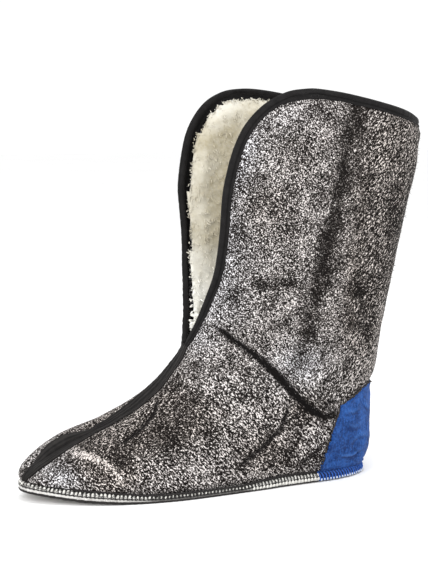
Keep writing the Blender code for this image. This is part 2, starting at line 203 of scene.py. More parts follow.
# Gathers over the sole, and felt drawn in or puffed out along its edges: amounts, places and reaches
GATHER_DEPTH = 0.55
GATHER_FADE = 9.0
GATHER_RISE = 1.5
GATHER_END = -48.0
GATHER_END_FADE = 8.0
FOOT_PRESS_PLACE = 1.0
FOOT_PRESS_REACH = 2.5
EDGE_PRESS = 1.3
EDGE_PRESS_REACH = 4.5
EDGE_PUFF = 0.9
EDGE_PUFF_BY_HEIGHT = ((70, 0.2), (120, 1.0))
EDGE_PUFF_PLACE = 10.0
EDGE_PUFF_REACH = 4.5
BACK_TUCK = 2.2
BACK_TUCK_REACH = 8.0
BACK_TUCK_FULL = 30.0
TOE_PUFF = 5.6
TOE_PUFF_ALONG = 26.0
TOE_PUFF_UP = 23.0
TOE_PUFF_RISE = 2.5
SECTION_GAP = 60.0

# Painted light and shade of the felt, in brighter and darker fields seen from the side: x, z, reach along x,
# reach along z, amount
FIELDS = (
    (-122, 250, 16, 40, 0.18),
    (-122, 158, 18, 18, -0.07),
    (-80, 248, 16, 14, -0.06),
    (-88, 276, 16, 13, 0.18),
    (-18, 163, 16, 14, -0.26),
    (-113, 212, 22, 22, -0.31),
    (-141, 112, 12, 12, 0.27),
    (-250, 20, 16, 12, 0.52),
    (-222, 26, 18, 14, -0.75),
    (-195, 48, 30, 11, -0.45),
    (-160, 62, 26, 18, -0.4),
    (12, 190, 34, 55, -0.8),
    (10, 255, 30, 25, -0.1),
    (-20, 125, 22, 26, -0.24),
    (-62, 35, 20, 18, 0.02),
    (-70, 92, 22, 16, 0.52),
    (-68, 57, 11, 10, -0.45),
    (-95, 28, 26, 18, -0.3),
    (-140, 78, 18, 16, 0.12),
    (34, 220, 14, 60, -0.35),
    (24, 120, 10, 36, -0.2),
)

# Camera and light
IMAGE_HEIGHT = 570
FOCAL_PIXELS = 1733.0
CAMERA_AZIMUTH = -24.0
CAMERA_ELEVATION = 6.6
CAMERA_DISTANCE = 1300.0
CAMERA_TARGET = (-122.0, 0.0, 150.0)
SENSOR_HEIGHT = 24.0
CLIP_START = 0.05
FLOOR_SIZE = 6.0
SURROUND_STRENGTH = 1.06
LIGHT_TARGET = (0.0, 0.0, 0.14)
# Soft boxes: name, place, size, power
LIGHTS = (
    ("front_box", (-0.95, -1.0, 0.75), 0.9, 14.0),
    ("top_box", (0.1, -0.3, 1.6), 1.4, 10.0),
    ("fill_box", (1.2, -1.2, 0.6), 1.0, 3.0),
)


def look_up(value, table):
    """Number read between the rows of a table."""
    return np.interp(value, *zip(*table))


def run_along(points):
    """Length along a path up to each of its points."""
    return np.concatenate([[0], np.cumsum(np.linalg.norm(np.diff(points, axis=0), axis=1))])


def at_stops(stops, run, points):
    """Points of a path at some lengths along it."""
    return np.stack([np.interp(stops, run, column) for column in points.T], axis=-1)


def there_and_back(first, second):
    """One path along the first and back along the second, which ends where the first does."""
    return np.concatenate([first, second[-2::-1]])


def bell(distance, width):
    """One at no distance, falling off softly over a width."""
    return np.exp(-((distance / width) ** 2))


def ease(value):
    """Soft step from 0 to 1 about zero."""
    return 1 / (1 + np.exp(-value))


def waves(run, table):
    """Sum of waves along a path."""
    return sum(amount * np.sin(run * 2 * np.pi / length + start) for amount, length, start in table)


def steady_slopes(at, value):
    """Slopes that keep a curve through table rows from overshooting."""
    step = np.diff(at)[:, None]
    rate = np.diff(value, axis=0) / step
    slope = np.zeros_like(value)
    slope[0] = rate[0]
    slope[-1] = rate[-1]
    before = 2 * step[1:] + step[:-1]
    after = step[1:] + 2 * step[:-1]
    same_way = rate[:-1] * rate[1:] > 0
    safe = np.where(same_way, rate[:-1], 1.0)
    safe_next = np.where(same_way, rate[1:], 1.0)
    mean = (before + after) / (before / safe + after / safe_next)
    slope[1:-1] = np.where(same_way, mean, 0.0)
    return slope


def curve_through(at, value):
    """Smooth curve through table rows."""
    at = np.asarray(at, float)
    value = np.asarray(value, float).reshape(len(at), -1)
    slope = steady_slopes(at, value)

    def curve(place):
        place = min(max(place, at[0]), at[-1])
        low = min(int(np.searchsorted(at, place, side="right")) - 1, len(at) - 2)
        gap = at[low + 1] - at[low]
        part = (place - at[low]) / gap
        rest = 1 - part
        from_low = (1 + 2 * part) * rest**2 * value[low] + part * rest**2 * gap * slope[low]
        from_high = part**2 * (3 - 2 * part) * value[low + 1] - part**2 * rest * gap * slope[low + 1]
        return from_low + from_high

    return curve


outline_at = curve_through([row[0] for row in OUTLINE], [row[1:] for row in OUTLINE])
back_at = curve_through([row[0] for row in BACK], [row[1:] for row in BACK])
section_at = curve_through(range(len(SECTIONS)), SECTIONS)


def toe_spring(x):
    """Height of the sole's underside above the floor."""
    ball = -FOOT_LENGTH * BALL_SHARE
    return TOE_SPRING * np.clip((ball - x) / (FOOT_LENGTH + ball), 0, None) ** 2


def foot_edge(turn, side, inset=0.0):
    """Point of the foot's outline at a turn."""
    half = outline_at(turn)[0 if side < 0 else 1]
    length = FOOT_LENGTH - 2 * inset
    x = -inset - length / 2 * (1 + np.cos(np.radians(turn)))
    return x, side * half * max(0.0, 1 - inset / max(half, inset + 1e-6))


def find_shift():
    """Move from the form's own millimetres to the frame, read off the sole's solid."""
    low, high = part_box("sole")
    turns = np.linspace(0, 180, SOLE_STATIONS + 1)
    outer = max(outline_at(turn)[0] for turn in turns)
    return np.array([high[0] / MM, low[1] / MM + outer, 0.0])


SHIFT = find_shift()


def world(points):
    """Form millimetres to metres in the frame."""
    return (np.asarray(points, float) + SHIFT) * MM


def section_curve(place, side):
    """Points up one section of the upper and their distance along it."""
    cut = dict(zip(SECTION_COLUMNS, section_at(place)))
    foot_x, foot_y = foot_edge(cut["turn"], side)
    back_x = foot_x + back_at(cut["rise"])[0]
    back_z = toe_spring(foot_x) + FEATHER_HEIGHT + cut["rise"]
    front_x = cut["front_x"] - (look_up(place, FAR_LEAN) if side > 0 else 0.0)
    base = abs(foot_y)
    width = max(cut["half_outer" if side < 0 else "half_inner"], base, 1e-6)
    crown = 2.0 if side < 0 else cut["crown"]
    swell = 0.0 if side < 0 else cut["swell"]
    widest = cut["widest"]
    gap = min(cut["open"] * (1.0 if side < 0 else INNER_OPEN), width) / width
    quarter = np.linspace(0, np.pi / 2, CURVE_POINTS)
    low_share = np.linspace(0, widest, CURVE_POINTS)[:-1]
    share = np.concatenate([low_share, widest + (1 - widest) * np.sin(quarter)])
    below = np.clip((widest - share) / widest, 0, 1)
    above = np.clip((share - widest) / (1 - widest), 0, 1)
    low_half = np.sqrt(np.clip(1 - (1 - (base / width) ** 2) * below**2, 0, 1))
    high_half = (gap**crown + (1 - gap**crown) * (1 - above**crown)) ** (1 / crown)
    half = np.where(share < widest, low_half, high_half)
    hump = half / SWELL_REACH * np.exp(1 - half / SWELL_REACH)
    rest = np.exp(1 - 1 / SWELL_REACH) / SWELL_REACH
    lift = np.where(share < widest, 0, swell * (hump - rest * half**4))
    lift = lift + cut["bow"] * BOW_SCALE * share**2 * (1 - share)
    points = np.stack([
        back_x + (front_x - back_x) * share,
        side * width * half,
        back_z + (cut["front_z"] - back_z) * share + lift,
    ], axis=-1)
    return points, run_along(points)


def skin_points(places, shares, side):
    """Bare form at rows of places and shares of each row's length."""
    rows = []
    for place, share in zip(places, shares):
        points, run = section_curve(place, side)
        stops = np.clip(share, 0, 1) * run[-1]
        rows.append(at_stops(stops, run, points))
    return np.array(rows)


def section_length(place, side):
    """Length of one section."""
    return section_curve(place, side)[1][-1]


def unit(vectors):
    """Vectors at length one."""
    return vectors / np.maximum(np.linalg.norm(vectors, axis=-1, keepdims=True), 1e-9)


def bare_normals(places, shares, side):
    """Outward directions of the bare form."""
    step, stride = 0.03, 0.004
    places = np.asarray(places, float)
    ahead = skin_points(np.clip(places + step, 0, TOP), shares, side)
    behind = skin_points(np.clip(places - step, 0, TOP), shares, side)
    up = skin_points(places, shares + stride, side)
    down = skin_points(places, shares - stride, side)
    return unit(np.cross(up - down, ahead - behind) * side)


def fold_distance(x, z, points):
    """Signed distance to a fold's line (positive above it) and how far its ends are left behind."""
    best = np.full(x.shape, 1e9)
    signed = np.zeros(x.shape)
    run = np.zeros(x.shape)
    points = np.asarray(points, float)
    lengths = np.linalg.norm(np.diff(points, axis=0), axis=1)
    start = 0.0
    for (x0, z0), (x1, z1), length in zip(points[:-1], points[1:], lengths):
        dx, dz = (x1 - x0) / length, (z1 - z0) / length
        along = np.clip((x - x0) * dx + (z - z0) * dz, 0, length)
        across = (z - z0) * dx - (x - x0) * dz
        away = np.hypot(x - x0 - along * dx, z - z0 - along * dz)
        nearer = away < best
        best = np.where(nearer, away, best)
        signed = np.where(nearer, np.sign(across) * away, signed)
        run = np.where(nearer, start + along, run)
        start += length
    ends = np.minimum(run, start - run)
    return signed, np.clip(ends / min(FOLD_FADE, start / 2.5), 0, 1)


def ripple(points, wave, seed):
    """Soft unevenness: a few crossed waves of about one wavelength."""
    draw = np.random.default_rng(seed)
    total = np.zeros(points.shape[:-1])
    for _ in range(6):
        direction = unit(draw.normal(size=3))
        length = wave * draw.uniform(0.7, 1.5)
        total += np.sin(points @ direction * 2 * np.pi / length + draw.uniform(0, 2 * np.pi))
    return total / 3.5


def ripples(points, table):
    """Sum of unevenness of several sizes."""
    return sum(amount * ripple(points, wave, seed) for amount, wave, seed in table)


def relief(points, side, from_foot, from_edge, foot_run):
    """Height that folds and puckers add to the felt, with its marks of painted shade: darkening (negative for
    a painted highlight), crease distance and depth of the painted crease line.
    """
    x, z = points[..., 0], points[..., 2]
    height = ripples(points, FELT_RIPPLES)
    dark = np.zeros(x.shape)
    crease = np.full(x.shape, CREASE_LIMIT)
    strength = np.zeros(x.shape)
    for _, fold_side, depth, width, lip, shade, line in FOLDS:
        if fold_side != side:
            continue
        signed, ends = fold_distance(x, z, line)
        soft = ends * ends * (3 - 2 * ends)
        height -= depth * soft * bell(signed, width)
        height += lip * soft * bell(signed - LIP_PLACE * width, LIP_WIDTH * width) * (signed > 0)
        mark = shade * bell(signed, SHADE_WIDTH * width) * np.sqrt(ends)
        if shade > CREASE_SHADE:
            apart = signed / (width * (CREASE_END_WIDTH + (1 - CREASE_END_WIDTH) * soft))
            nearer = np.abs(apart) < np.abs(crease)
            crease = np.where(nearer, apart, crease)
            strength = np.where(nearer, min(shade, 1.0) * np.sqrt(ends), strength)
            mark = CREASE_MARK * mark
        # Painted shade in the fold; a negative mark, as on the toe ridge, is a painted highlight
        dark = np.maximum(dark, mark) if shade > 0 else dark + mark
    gather = waves(foot_run, GATHERS) * np.clip((GATHER_END - x) / GATHER_END_FADE, 0, 1)
    rise = np.clip(from_foot / GATHER_RISE, 0, 1)
    height += GATHER_DEPTH * gather * np.exp(-from_foot / GATHER_FADE) * rise
    height -= bell(from_foot - FOOT_PRESS_PLACE, FOOT_PRESS_REACH)
    height -= EDGE_PRESS * bell(from_edge, EDGE_PRESS_REACH)
    height -= BACK_TUCK * bell(from_edge, BACK_TUCK_REACH) * np.clip(x / BACK_TUCK_FULL, 0, 1)
    puff = EDGE_PUFF * look_up(z, EDGE_PUFF_BY_HEIGHT)
    height += puff * bell(from_edge - EDGE_PUFF_PLACE, EDGE_PUFF_REACH)
    tip = bell(foot_run, TOE_PUFF_ALONG) * bell(from_foot, TOE_PUFF_UP)
    height += TOE_PUFF * tip * np.clip(from_foot / TOE_PUFF_RISE, 0, 1)
    return height, np.stack([dark, crease, strength], axis=-1)


def foot_runs():
    """Length along the foot edge at each place, as a table."""
    places = np.linspace(0, HEEL, CURVE_POINTS)
    points = np.array([foot_edge(section_at(place)[0], OUTER) for place in places])
    return places, run_along(points)


FOOT_PLACES, FOOT_RUNS = foot_runs()


def skin_patch(places, shares):
    """Dressed form on both sides: points, outward directions and fold marks of painted shade."""
    places = np.asarray(places, float)
    shares = np.broadcast_to(shares, (len(places), np.shape(shares)[-1])).astype(float)
    normals = {side: bare_normals(places, shares, side) for side in SIDES}
    shared = unit(normals[OUTER] + normals[INNER])
    place_grid = np.broadcast_to(places[:, None], shares.shape)
    welded = ((shares > 0.9999) & (place_grid <= THROAT)) | ((shares < 0.0001) & (place_grid >= HEEL))
    welded |= place_grid <= 0
    patch = {}
    for side in SIDES:
        points = skin_points(places, shares, side)
        out = np.where(welded[..., None], shared, normals[side])
        lengths = np.array([section_length(place, side) for place in places])[:, None]
        past_heel = np.clip(place_grid - HEEL, 0, None)
        from_foot = shares * lengths + past_heel * SECTION_GAP
        from_top = SECTIONS[-1][1] - np.array([section_at(place)[1] for place in places])[:, None]
        from_edge = np.minimum((1 - shares) * lengths, from_top)
        foot_run = np.interp(place_grid, FOOT_PLACES, FOOT_RUNS)
        height, marks = relief(points, side, from_foot, from_edge, foot_run)
        other = relief(points, -side, from_foot, from_edge, foot_run)[0]
        height = np.where(welded, (height + other) / 2, height)
        patch[side] = (points + out * height[..., None], out, marks)
    return patch


def add_grid(mesh, points, uv=None):
    """Add a grid whose corners go to an array of points in metres, with its UV in metres."""
    rows, columns = points.shape[0] - 1, points.shape[1] - 1
    uv_layer = mesh.loops.layers.uv.verify()
    corners = bmesh.ops.create_grid(mesh, x_segments=rows, y_segments=columns, size=0.5)["verts"]
    places = {}
    for corner in corners:
        row = round((corner.co.x + 0.5) * rows)
        column = round((corner.co.y + 0.5) * columns)
        places[corner] = (row, column)
        corner.co = Vector(points[row, column])
    if uv is not None:
        faces = {face for corner in corners for face in corner.link_faces}
        for face in faces:
            for loop in face.loops:
                loop[uv_layer].uv = uv[places[loop.vert]]
    return places


def face_outward(mesh, centre):
    """Turn an open sheet so that its faces look away from a line through its middle."""
    bmesh.ops.recalc_face_normals(mesh, faces=mesh.faces)
    score = sum(
        face.normal.dot(face.calc_center_median() - Vector(centre)) * face.calc_area() for face in mesh.faces
    )
    if score < 0:
        bmesh.ops.reverse_faces(mesh, faces=mesh.faces)


def make_piece(name, mesh, material, nodes=()):
    """Object from a bmesh, riding on the liner's body."""
    data = bpy.data.meshes.new(name)
    mesh.to_mesh(data)
    mesh.free()
    return finish_piece(name, data, material, nodes)


def finish_piece(name, data, material, nodes=()):
    """Shade, name, ride and slot one piece."""
    data.shade_smooth()
    data.materials.append(material)
    piece = bpy.data.objects.new(name, data)
    bpy.context.scene.collection.objects.link(piece)
    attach(piece, "root")
    if nodes:
        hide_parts(*nodes)
    return piece


def value_layers(mesh, *names):
    """New layers that hold one number for each vertex of a bmesh."""
    return [mesh.verts.layers.float.new(name) for name in names]


def add_wall(piece, name, thickness):
    """Give an open sheet its thickness, inward from its face."""
    wall = piece.modifiers.new(name, "SOLIDIFY")
    wall.thickness = thickness * MM
    wall.offset = -1.0
    return wall


def set_attribute(data, name, values):
    """Store one number for each vertex."""
    layer = data.attributes.new(name, "FLOAT", "POINT")
    layer.data.foreach_set("value", np.asarray(values, np.float32))


def tubes(paths, radii, sides):
    """Joined tapering tubes from arrays: corners, faces and the share along each tube."""
    count, rings = paths.shape[:2]
    along = unit(np.gradient(paths, axis=1))
    lead = np.where(np.abs(along[..., 2:3]) > 0.8, [1.0, 0.0, 0.0], [0.0, 0.0, 1.0])
    side = unit(np.cross(along, lead))
    over = np.cross(along, side)
    turn = np.arange(sides) * 2 * np.pi / sides
    ring = side[:, :, None] * np.cos(turn)[:, None] + over[:, :, None] * np.sin(turn)[:, None]
    radii = np.broadcast_to(radii, (count, rings))
    corners = (paths[:, :, None] + ring * radii[..., None, None]).reshape(-1, 3)
    index = np.arange(count * rings * sides).reshape(count, rings, sides)
    right = np.roll(index, -1, axis=2)
    walls = np.stack([index[:, :-1], index[:, 1:], right[:, 1:], right[:, :-1]], axis=-1).reshape(-1, 4)
    first = index[:, 0, :]
    last = index[:, -1, ::-1]
    faces = walls.tolist() + first.tolist() + last.tolist()
    share = np.broadcast_to(np.linspace(0, 1, rings)[None, :, None], (count, rings, sides)).reshape(-1)
    return corners, faces, share


def tube_piece(name, bundles, material):
    """One piece of joined tubes, from bundles of paths in metres with their radii and sides."""
    corners, faces, shares = [], [], []
    count = 0
    for paths, radii, sides in bundles:
        some, quads, share = tubes(paths, radii, sides)
        faces.extend([[corner + count for corner in face] for face in quads])
        corners.append(some)
        shares.append(share)
        count += len(some)
    data = bpy.data.meshes.new(name)
    data.from_pydata(np.concatenate(corners).tolist(), [], faces)
    set_attribute(data, "tip", np.concatenate(shares))
    return finish_piece(name, data, material)


# Sockets of a Mix node that mixes colours: factor and both colours in, colour out
MIX_INPUTS = (0, 6, 7)
MIX_OUTPUT = 2


class Finish:
    """Small helper that builds one procedural material."""

    def __init__(self, name):
        self.material = bpy.data.materials.new(name)
        self.material.use_nodes = True
        self.nodes = self.material.node_tree.nodes
        self.links = self.material.node_tree.links
        self.shader = self.nodes["Principled BSDF"]
        self.coords = None

    def feed(self, socket, value):
        """Give a socket another node's output, a colour or a number."""
        if isinstance(value, bpy.types.NodeSocket):
            self.links.new(value, socket)
        elif socket.type == "RGBA":
            socket.default_value = (*value, 1.0)
        else:
            socket.default_value = value

    def add(self, kind, inputs, **settings):
        """New node with its settings and what goes into it."""
        node = self.nodes.new("ShaderNode" + kind)
        for key, value in settings.items():
            setattr(node, key, value)
        for key, value in inputs.items():
            self.feed(node.inputs[key], value)
        return node

    def set(self, **sockets):
        """Feed sockets of the shader, named with underscores."""
        for name, value in sockets.items():
            self.feed(self.shader.inputs[name.replace("_", " ")], value)

    def coordinates(self, kind="Object"):
        if self.coords is None:
            self.coords = self.add("TexCoord", {})
        return self.coords.outputs[kind]

    def mapped(self, kind="Object", turn=(0, 0, 0), scale=(1, 1, 1)):
        inputs = {"Vector": self.coordinates(kind), "Rotation": np.radians(turn), "Scale": scale}
        return self.add("Mapping", inputs, vector_type="TEXTURE").outputs["Vector"]

    def noise(self, vector, scale, detail, roughness):
        inputs = {"Vector": vector, "Scale": scale, "Detail": detail, "Roughness": roughness}
        return self.add("TexNoise", inputs).outputs["Fac"]

    def wave(self, vector, scale, axis, distortion):
        inputs = {"Vector": vector, "Scale": scale, "Distortion": distortion}
        settings = {"wave_type": "BANDS", "bands_direction": axis, "wave_profile": "SIN"}
        return self.add("TexWave", inputs, **settings).outputs["Fac"]

    def attribute(self, name):
        return self.add("Attribute", {}, attribute_name=name).outputs["Fac"]

    def math(self, operation, *values, clamp=False):
        inputs = dict(enumerate(values))
        return self.add("Math", inputs, operation=operation, use_clamp=clamp).outputs["Value"]

    def times(self, first, second):
        return self.math("MULTIPLY", first, second)

    def plus(self, first, second, share):
        return self.math("ADD", first, self.times(second, share))

    def blend(self, first, second, share):
        return self.math("ADD", self.times(first, share), self.times(second, 1 - share))

    def mix(self, factor, first, second, how="MIX"):
        inputs = dict(zip(MIX_INPUTS, (factor, first, second)))
        return self.add("Mix", inputs, data_type="RGBA", blend_type=how).outputs[MIX_OUTPUT]

    def ramp(self, factor, stops):
        node = self.add("ValToRGB", {"Fac": factor})
        elements = node.color_ramp.elements
        while len(elements) < len(stops):
            elements.new(0.5)
        for element, (place, colour) in zip(elements, stops):
            element.position = place
            element.color = (*colour, 1.0)
        return node.outputs["Color"]

    def spread(self, value, low, high, to_low, to_high):
        inputs = {"Value": value, "From Min": low, "From Max": high, "To Min": to_low, "To Max": to_high}
        return self.add("MapRange", inputs).outputs["Result"]

    def bump(self, height, distance, strength):
        inputs = {"Height": height, "Distance": distance, "Strength": strength}
        return self.add("Bump", inputs).outputs["Normal"]


# Degrees by which the felt's fibres lean, one way and the other
FIBRE_LEANS = (42, -42)


def metallised_felt():
    """Felt of dark and silvered fibres, laid in a herringbone, with painted shade in its folds and creases, a
    painted highlight on the toe ridge and painted light and shade fields.
    """
    felt = Finish("metallised_felt")
    lay = felt.attribute("lay")
    leans = [felt.mapped(turn=(0, lean, 0), scale=(1, 1, 1.3)) for lean in FIBRE_LEANS]
    long_leans = [felt.mapped(turn=(0, lean, 0), scale=(1, 1, 1.8)) for lean in FIBRE_LEANS]
    short = felt.mix(lay, *(felt.noise(way, 1130, 2.5, 0.62) for way in leans))
    long = felt.mix(lay, *(felt.noise(way, 1000, 2.5, 0.62) for way in long_leans))
    place = felt.add("SeparateXYZ", {"Vector": felt.coordinates()})
    low = felt.spread(place.outputs["Z"], 0.082, 0.098, 1.0, 0.0)
    behind = felt.spread(place.outputs["X"], 0.075, 0.095, 0.0, 1.0)
    streak = felt.mix(felt.math("MAXIMUM", low, behind), short, long)
    twill = felt.mix(lay, *(felt.wave(way, 85, "X", 4.0) for way in leans))
    fine = felt.noise(felt.coordinates(), 1700, 2.0, 0.6)
    cloud = felt.noise(felt.coordinates(), 70, 3.0, 0.6)
    plain = felt.blend(streak, fine, 0.66)
    coarse = felt.spread(place.outputs["Z"], 0.06, 0.12, 0.36, 0.08)
    coarse = felt.plus(coarse, behind, 0.26)
    fleck = felt.plus(plain, felt.math("SUBTRACT", plain, 0.54), coarse)
    field = felt.attribute("field")
    fold = felt.attribute("fold")
    # Painted light and shade from the field attribute
    lift = felt.plus(-0.013, field, 0.06)
    rows = felt.plus(0.016, coarse, 0.05)
    slant = felt.times(felt.math("SUBTRACT", twill, 0.5), rows)
    haze = felt.math("ADD", felt.spread(cloud, 0.3, 0.7, -0.032, 0.032), slant)
    # Painted shade in the folds, broken up by the cloud noise
    shade = felt.times(felt.times(fold, -0.13), felt.spread(cloud, 0.3, 0.7, 1.3, 0.6))
    value = felt.math("ADD", felt.math("ADD", fleck, lift), felt.math("ADD", haze, shade))
    colour = felt.ramp(value, (
        (0.440, (0.004, 0.003, 0.0025)),
        (0.492, (0.030, 0.026, 0.023)),
        (0.533, (0.22, 0.205, 0.195)),
        (0.585, (0.86, 0.84, 0.82)),
    ))
    # Bluish where the felt is painted lighter and along the throat, browner towards the back and where it is
    # painted darker
    cool = felt.mix(felt.attribute("cool"), (1.0, 0.94, 0.905), (0.955, 0.975, 1.035))
    tinted = felt.mix(1.0, colour, cool, "MULTIPLY")
    # A near-black painted crease line along the sharp folds, as dark as the depth mark
    stray = felt.spread(felt.noise(felt.coordinates(), 420, 3.0, 0.6), 0.3, 0.7, -0.5, 0.5)
    off_crease = felt.math("ABSOLUTE", felt.math("ADD", felt.attribute("crease"), stray))
    line = felt.times(felt.spread(off_crease, 0.45, 1.35, 1.0, 0.0), felt.attribute("depth"))
    felt.set(Base_Color=felt.mix(line, tinted, (0.006, 0.005, 0.005)))
    felt.set(Metallic=felt.spread(value, 0.52, 0.60, 0.0, 0.3))
    felt.set(Roughness=felt.spread(value, 0.44, 0.60, 0.9, 0.38))
    felt.set(Normal=felt.bump(fleck, 0.0010, 0.9))
    felt.set(Specular_IOR_Level=0.12)
    return felt.material


def wool_pile(name, tip=False):
    """Cream wool pile, with painted beige shade in its depths."""
    pile = Finish(name)
    coords = pile.coordinates()
    broad = pile.noise(coords, 22, 3.0, 0.6)
    curl = pile.noise(coords, 330, 4.0, 0.65)
    blotch = pile.spread(broad, 0.35, 0.66, -0.25, 0.25)
    # Painted beige shade, broken up by the blotch noise
    beige_shade = pile.math("ADD", pile.attribute("beige_shade"), blotch, clamp=True)
    base = pile.mix(beige_shade, (0.84, 0.84, 0.81), (0.385, 0.348, 0.256))
    # Towards the tufts' roots and in the footbed's hollows the wool is a little darker: painted shade; on the
    # lining the same mix follows its lumps
    depth = pile.attribute("tip") if tip else pile.attribute("depth")
    root = pile.mix(1.0, base, (0.94, 0.92, 0.87), "MULTIPLY")
    colour = pile.mix(depth, root, base)
    pile.set(Base_Color=pile.mix(pile.spread(curl, 0.40, 0.62, 0.0, 0.14), colour, (0.82, 0.81, 0.76)))
    pile.set(Normal=pile.bump(curl, 0.0007, 0.6))
    pile.set(Roughness=0.95, Sheen_Weight=0.2, Sheen_Roughness=0.6, Specular_IOR_Level=0.1)
    return pile.material


def black_binding():
    """Black woven bias tape with a soft shine on its fold."""
    tape = Finish("black_binding")
    slant = tape.mapped("UV", turn=(0, 0, 45))
    warp = tape.wave(slant, 430, "X", 0.3)
    weft = tape.wave(slant, 430, "Y", 0.3)
    weave = tape.times(warp, weft)
    wear = tape.noise(tape.coordinates(), 160, 3.0, 0.6)
    value = tape.blend(weave, wear, 0.35)
    cloth = tape.ramp(value, ((0.25, (0.0045, 0.004, 0.0042)), (0.62, (0.012, 0.011, 0.011))))
    # Darker in the stitch grooves and along the tape's edges, plain on its rolled fold: painted shade
    tape_shading = tape.attribute("tape_shading")
    tape.set(Base_Color=tape.mix(tape.spread(tape_shading, 0.0, 1.0, 0.8, -0.4), cloth, (0.0012, 0.001, 0.001)))
    tape.set(Roughness=tape.spread(wear, 0.3, 0.7, 0.68, 0.52))
    tape.set(Normal=tape.bump(weave, 0.00025, 0.7))
    tape.set(Specular_IOR_Level=0.13)
    return tape.material


def black_tape():
    """Black ribbed tape, greyed along its ribs: a painted highlight on their crests."""
    tape = Finish("black_tape")
    ribs = tape.wave(tape.mapped("UV"), 120, "Y", 0.4)
    ticks = tape.wave(tape.mapped("UV"), 420, "X", 0.6)
    wear = tape.noise(tape.coordinates(), 240, 3.0, 0.6)
    value = tape.blend(ribs, wear, 0.4)
    tape.set(Base_Color=tape.ramp(value, ((0.25, (0.004, 0.0036, 0.0036)), (0.75, (0.022, 0.020, 0.019)))))
    tape.set(Normal=tape.bump(tape.plus(ribs, ticks, 0.5), 0.0004, 0.8))
    tape.set(Roughness=0.65, Specular_IOR_Level=0.15)
    return tape.material


def blue_weave():
    """Matt blue cloth with a fine upright rib, painted darker between its ribs and under its wrinkles and
    lighter along their ridges: painted shade and highlight.
    """
    cloth = Finish("blue_weave")
    rib = cloth.wave(cloth.mapped("UV"), 290, "X", 0.8)
    pick = cloth.wave(cloth.mapped("UV"), 420, "Y", 0.4)
    fade = cloth.noise(cloth.coordinates(), 60, 3.0, 0.6)
    grain = cloth.noise(cloth.coordinates(), 620, 2.0, 0.6)
    value = cloth.blend(fade, grain, 0.5)
    colour = cloth.ramp(value, ((0.40, (0.003, 0.026, 0.125)), (0.60, (0.028, 0.115, 0.40))))
    # Darker between the ribs: painted shade
    dark = cloth.mix(cloth.spread(rib, 0.0, 0.5, 0.5, 0.0), colour, (0.002, 0.016, 0.09))
    # Lighter along the wrinkle ridges: painted highlight; the next line darkens under them: painted shade
    lit = cloth.mix(cloth.times(cloth.attribute("fold"), 0.55), dark, (0.06, 0.17, 0.48))
    cloth.set(Base_Color=cloth.mix(cloth.times(cloth.attribute("shade"), 0.7), lit, (0.002, 0.014, 0.08)))
    cloth.set(Normal=cloth.bump(cloth.plus(rib, pick, 0.6), 0.0004, 0.8))
    cloth.set(Roughness=0.82, Sheen_Weight=0.06, Sheen_Roughness=0.4, Specular_IOR_Level=0.12)
    return cloth.material


def pressed_felt(name, dark, light, overhang_shade_colour=None):
    """Pressed felt of mixed fibres, with painted shade where its edge lies under the upper."""
    felt = Finish(name)
    coords = felt.coordinates()
    fibre = felt.noise(felt.mapped(scale=(0.35, 0.35, 1.4)), 700, 3.0, 0.65)
    cloud = felt.noise(coords, 90, 3.0, 0.6)
    value = felt.blend(fibre, cloud, 0.65)
    colour = felt.ramp(value, ((0.38, dark), (0.56, light)))
    # Painted shade where the upper hangs over the edge
    if overhang_shade_colour:
        colour = felt.mix(felt.attribute("overhang_shade"), colour, overhang_shade_colour)
    felt.set(Base_Color=colour)
    felt.set(Normal=felt.bump(fibre, 0.0006, 0.7))
    felt.set(Roughness=0.95, Sheen_Weight=0.2, Specular_IOR_Level=0.15)
    return felt.material


def spun_thread(name, dark, light):
    """Twisted sewing thread."""
    thread = Finish(name)
    fuzz = thread.noise(thread.coordinates(), 1500, 2.0, 0.6)
    thread.set(Base_Color=thread.ramp(fuzz, ((0.35, dark), (0.65, light))))
    thread.set(Normal=thread.bump(fuzz, 0.0002, 0.6))
    thread.set(Roughness=0.75, Sheen_Weight=0.03, Specular_IOR_Level=0.15)
    return thread.material


def pale_floor():
    """Plain pale studio floor."""
    floor = Finish("pale_floor")
    grain = floor.noise(floor.coordinates(), 3, 2.0, 0.5)
    floor.set(Base_Color=floor.ramp(grain, ((0.3, (0.93, 0.93, 0.93)), (0.7, (0.95, 0.95, 0.95)))))
    floor.set(Roughness=0.9, Specular_IOR_Level=0.1)
    return floor.material


# Lines where the fibres change their lean: the shaft trough by z and x, the vamp by x and z
TROUGH_LINE = ((98, -71), (155, -58), (222, -45), (290, -34))
VAMP_LINE = ((-271, 22), (-200, 36), (-140, 60))
VAMP_END = -157
# Slanting line above which the shaft begins: a point of it by x and z, and its slope
SHAFT_FOOT_X = -90
SHAFT_FOOT_Z = 95
SHAFT_SLOPE = 0.7
# How softly the lean changes there
TROUGH_SOFT = 6
VAMP_SOFT = 5
VAMP_END_SOFT = 7
SHAFT_SOFT = 10
# Bluish band along the throat
THROAT_X = -132
THROAT_REACH = 22
THROAT_LOW = 125
THROAT_SOFT = 8
THROAT_COOL = 0.65


def lay_of(points, side):
    """Which way the felt's fibres lean: 0 one way, 1 the other, changing at the trough and on the vamp."""
    x, z = points[:, 0], points[:, 2]
    shaft = ease((x - look_up(z, TROUGH_LINE)) / TROUGH_SOFT)
    vamp = ease((z - look_up(x, VAMP_LINE)) / VAMP_SOFT) * ease((VAMP_END - x) / VAMP_END_SOFT)
    on_shaft = ease((z + SHAFT_SLOPE * (x - SHAFT_FOOT_X) - SHAFT_FOOT_Z) / SHAFT_SOFT)
    lay = 1 - vamp * (1 - on_shaft) - shaft * on_shaft
    return lay if side < 0 else 1 - lay


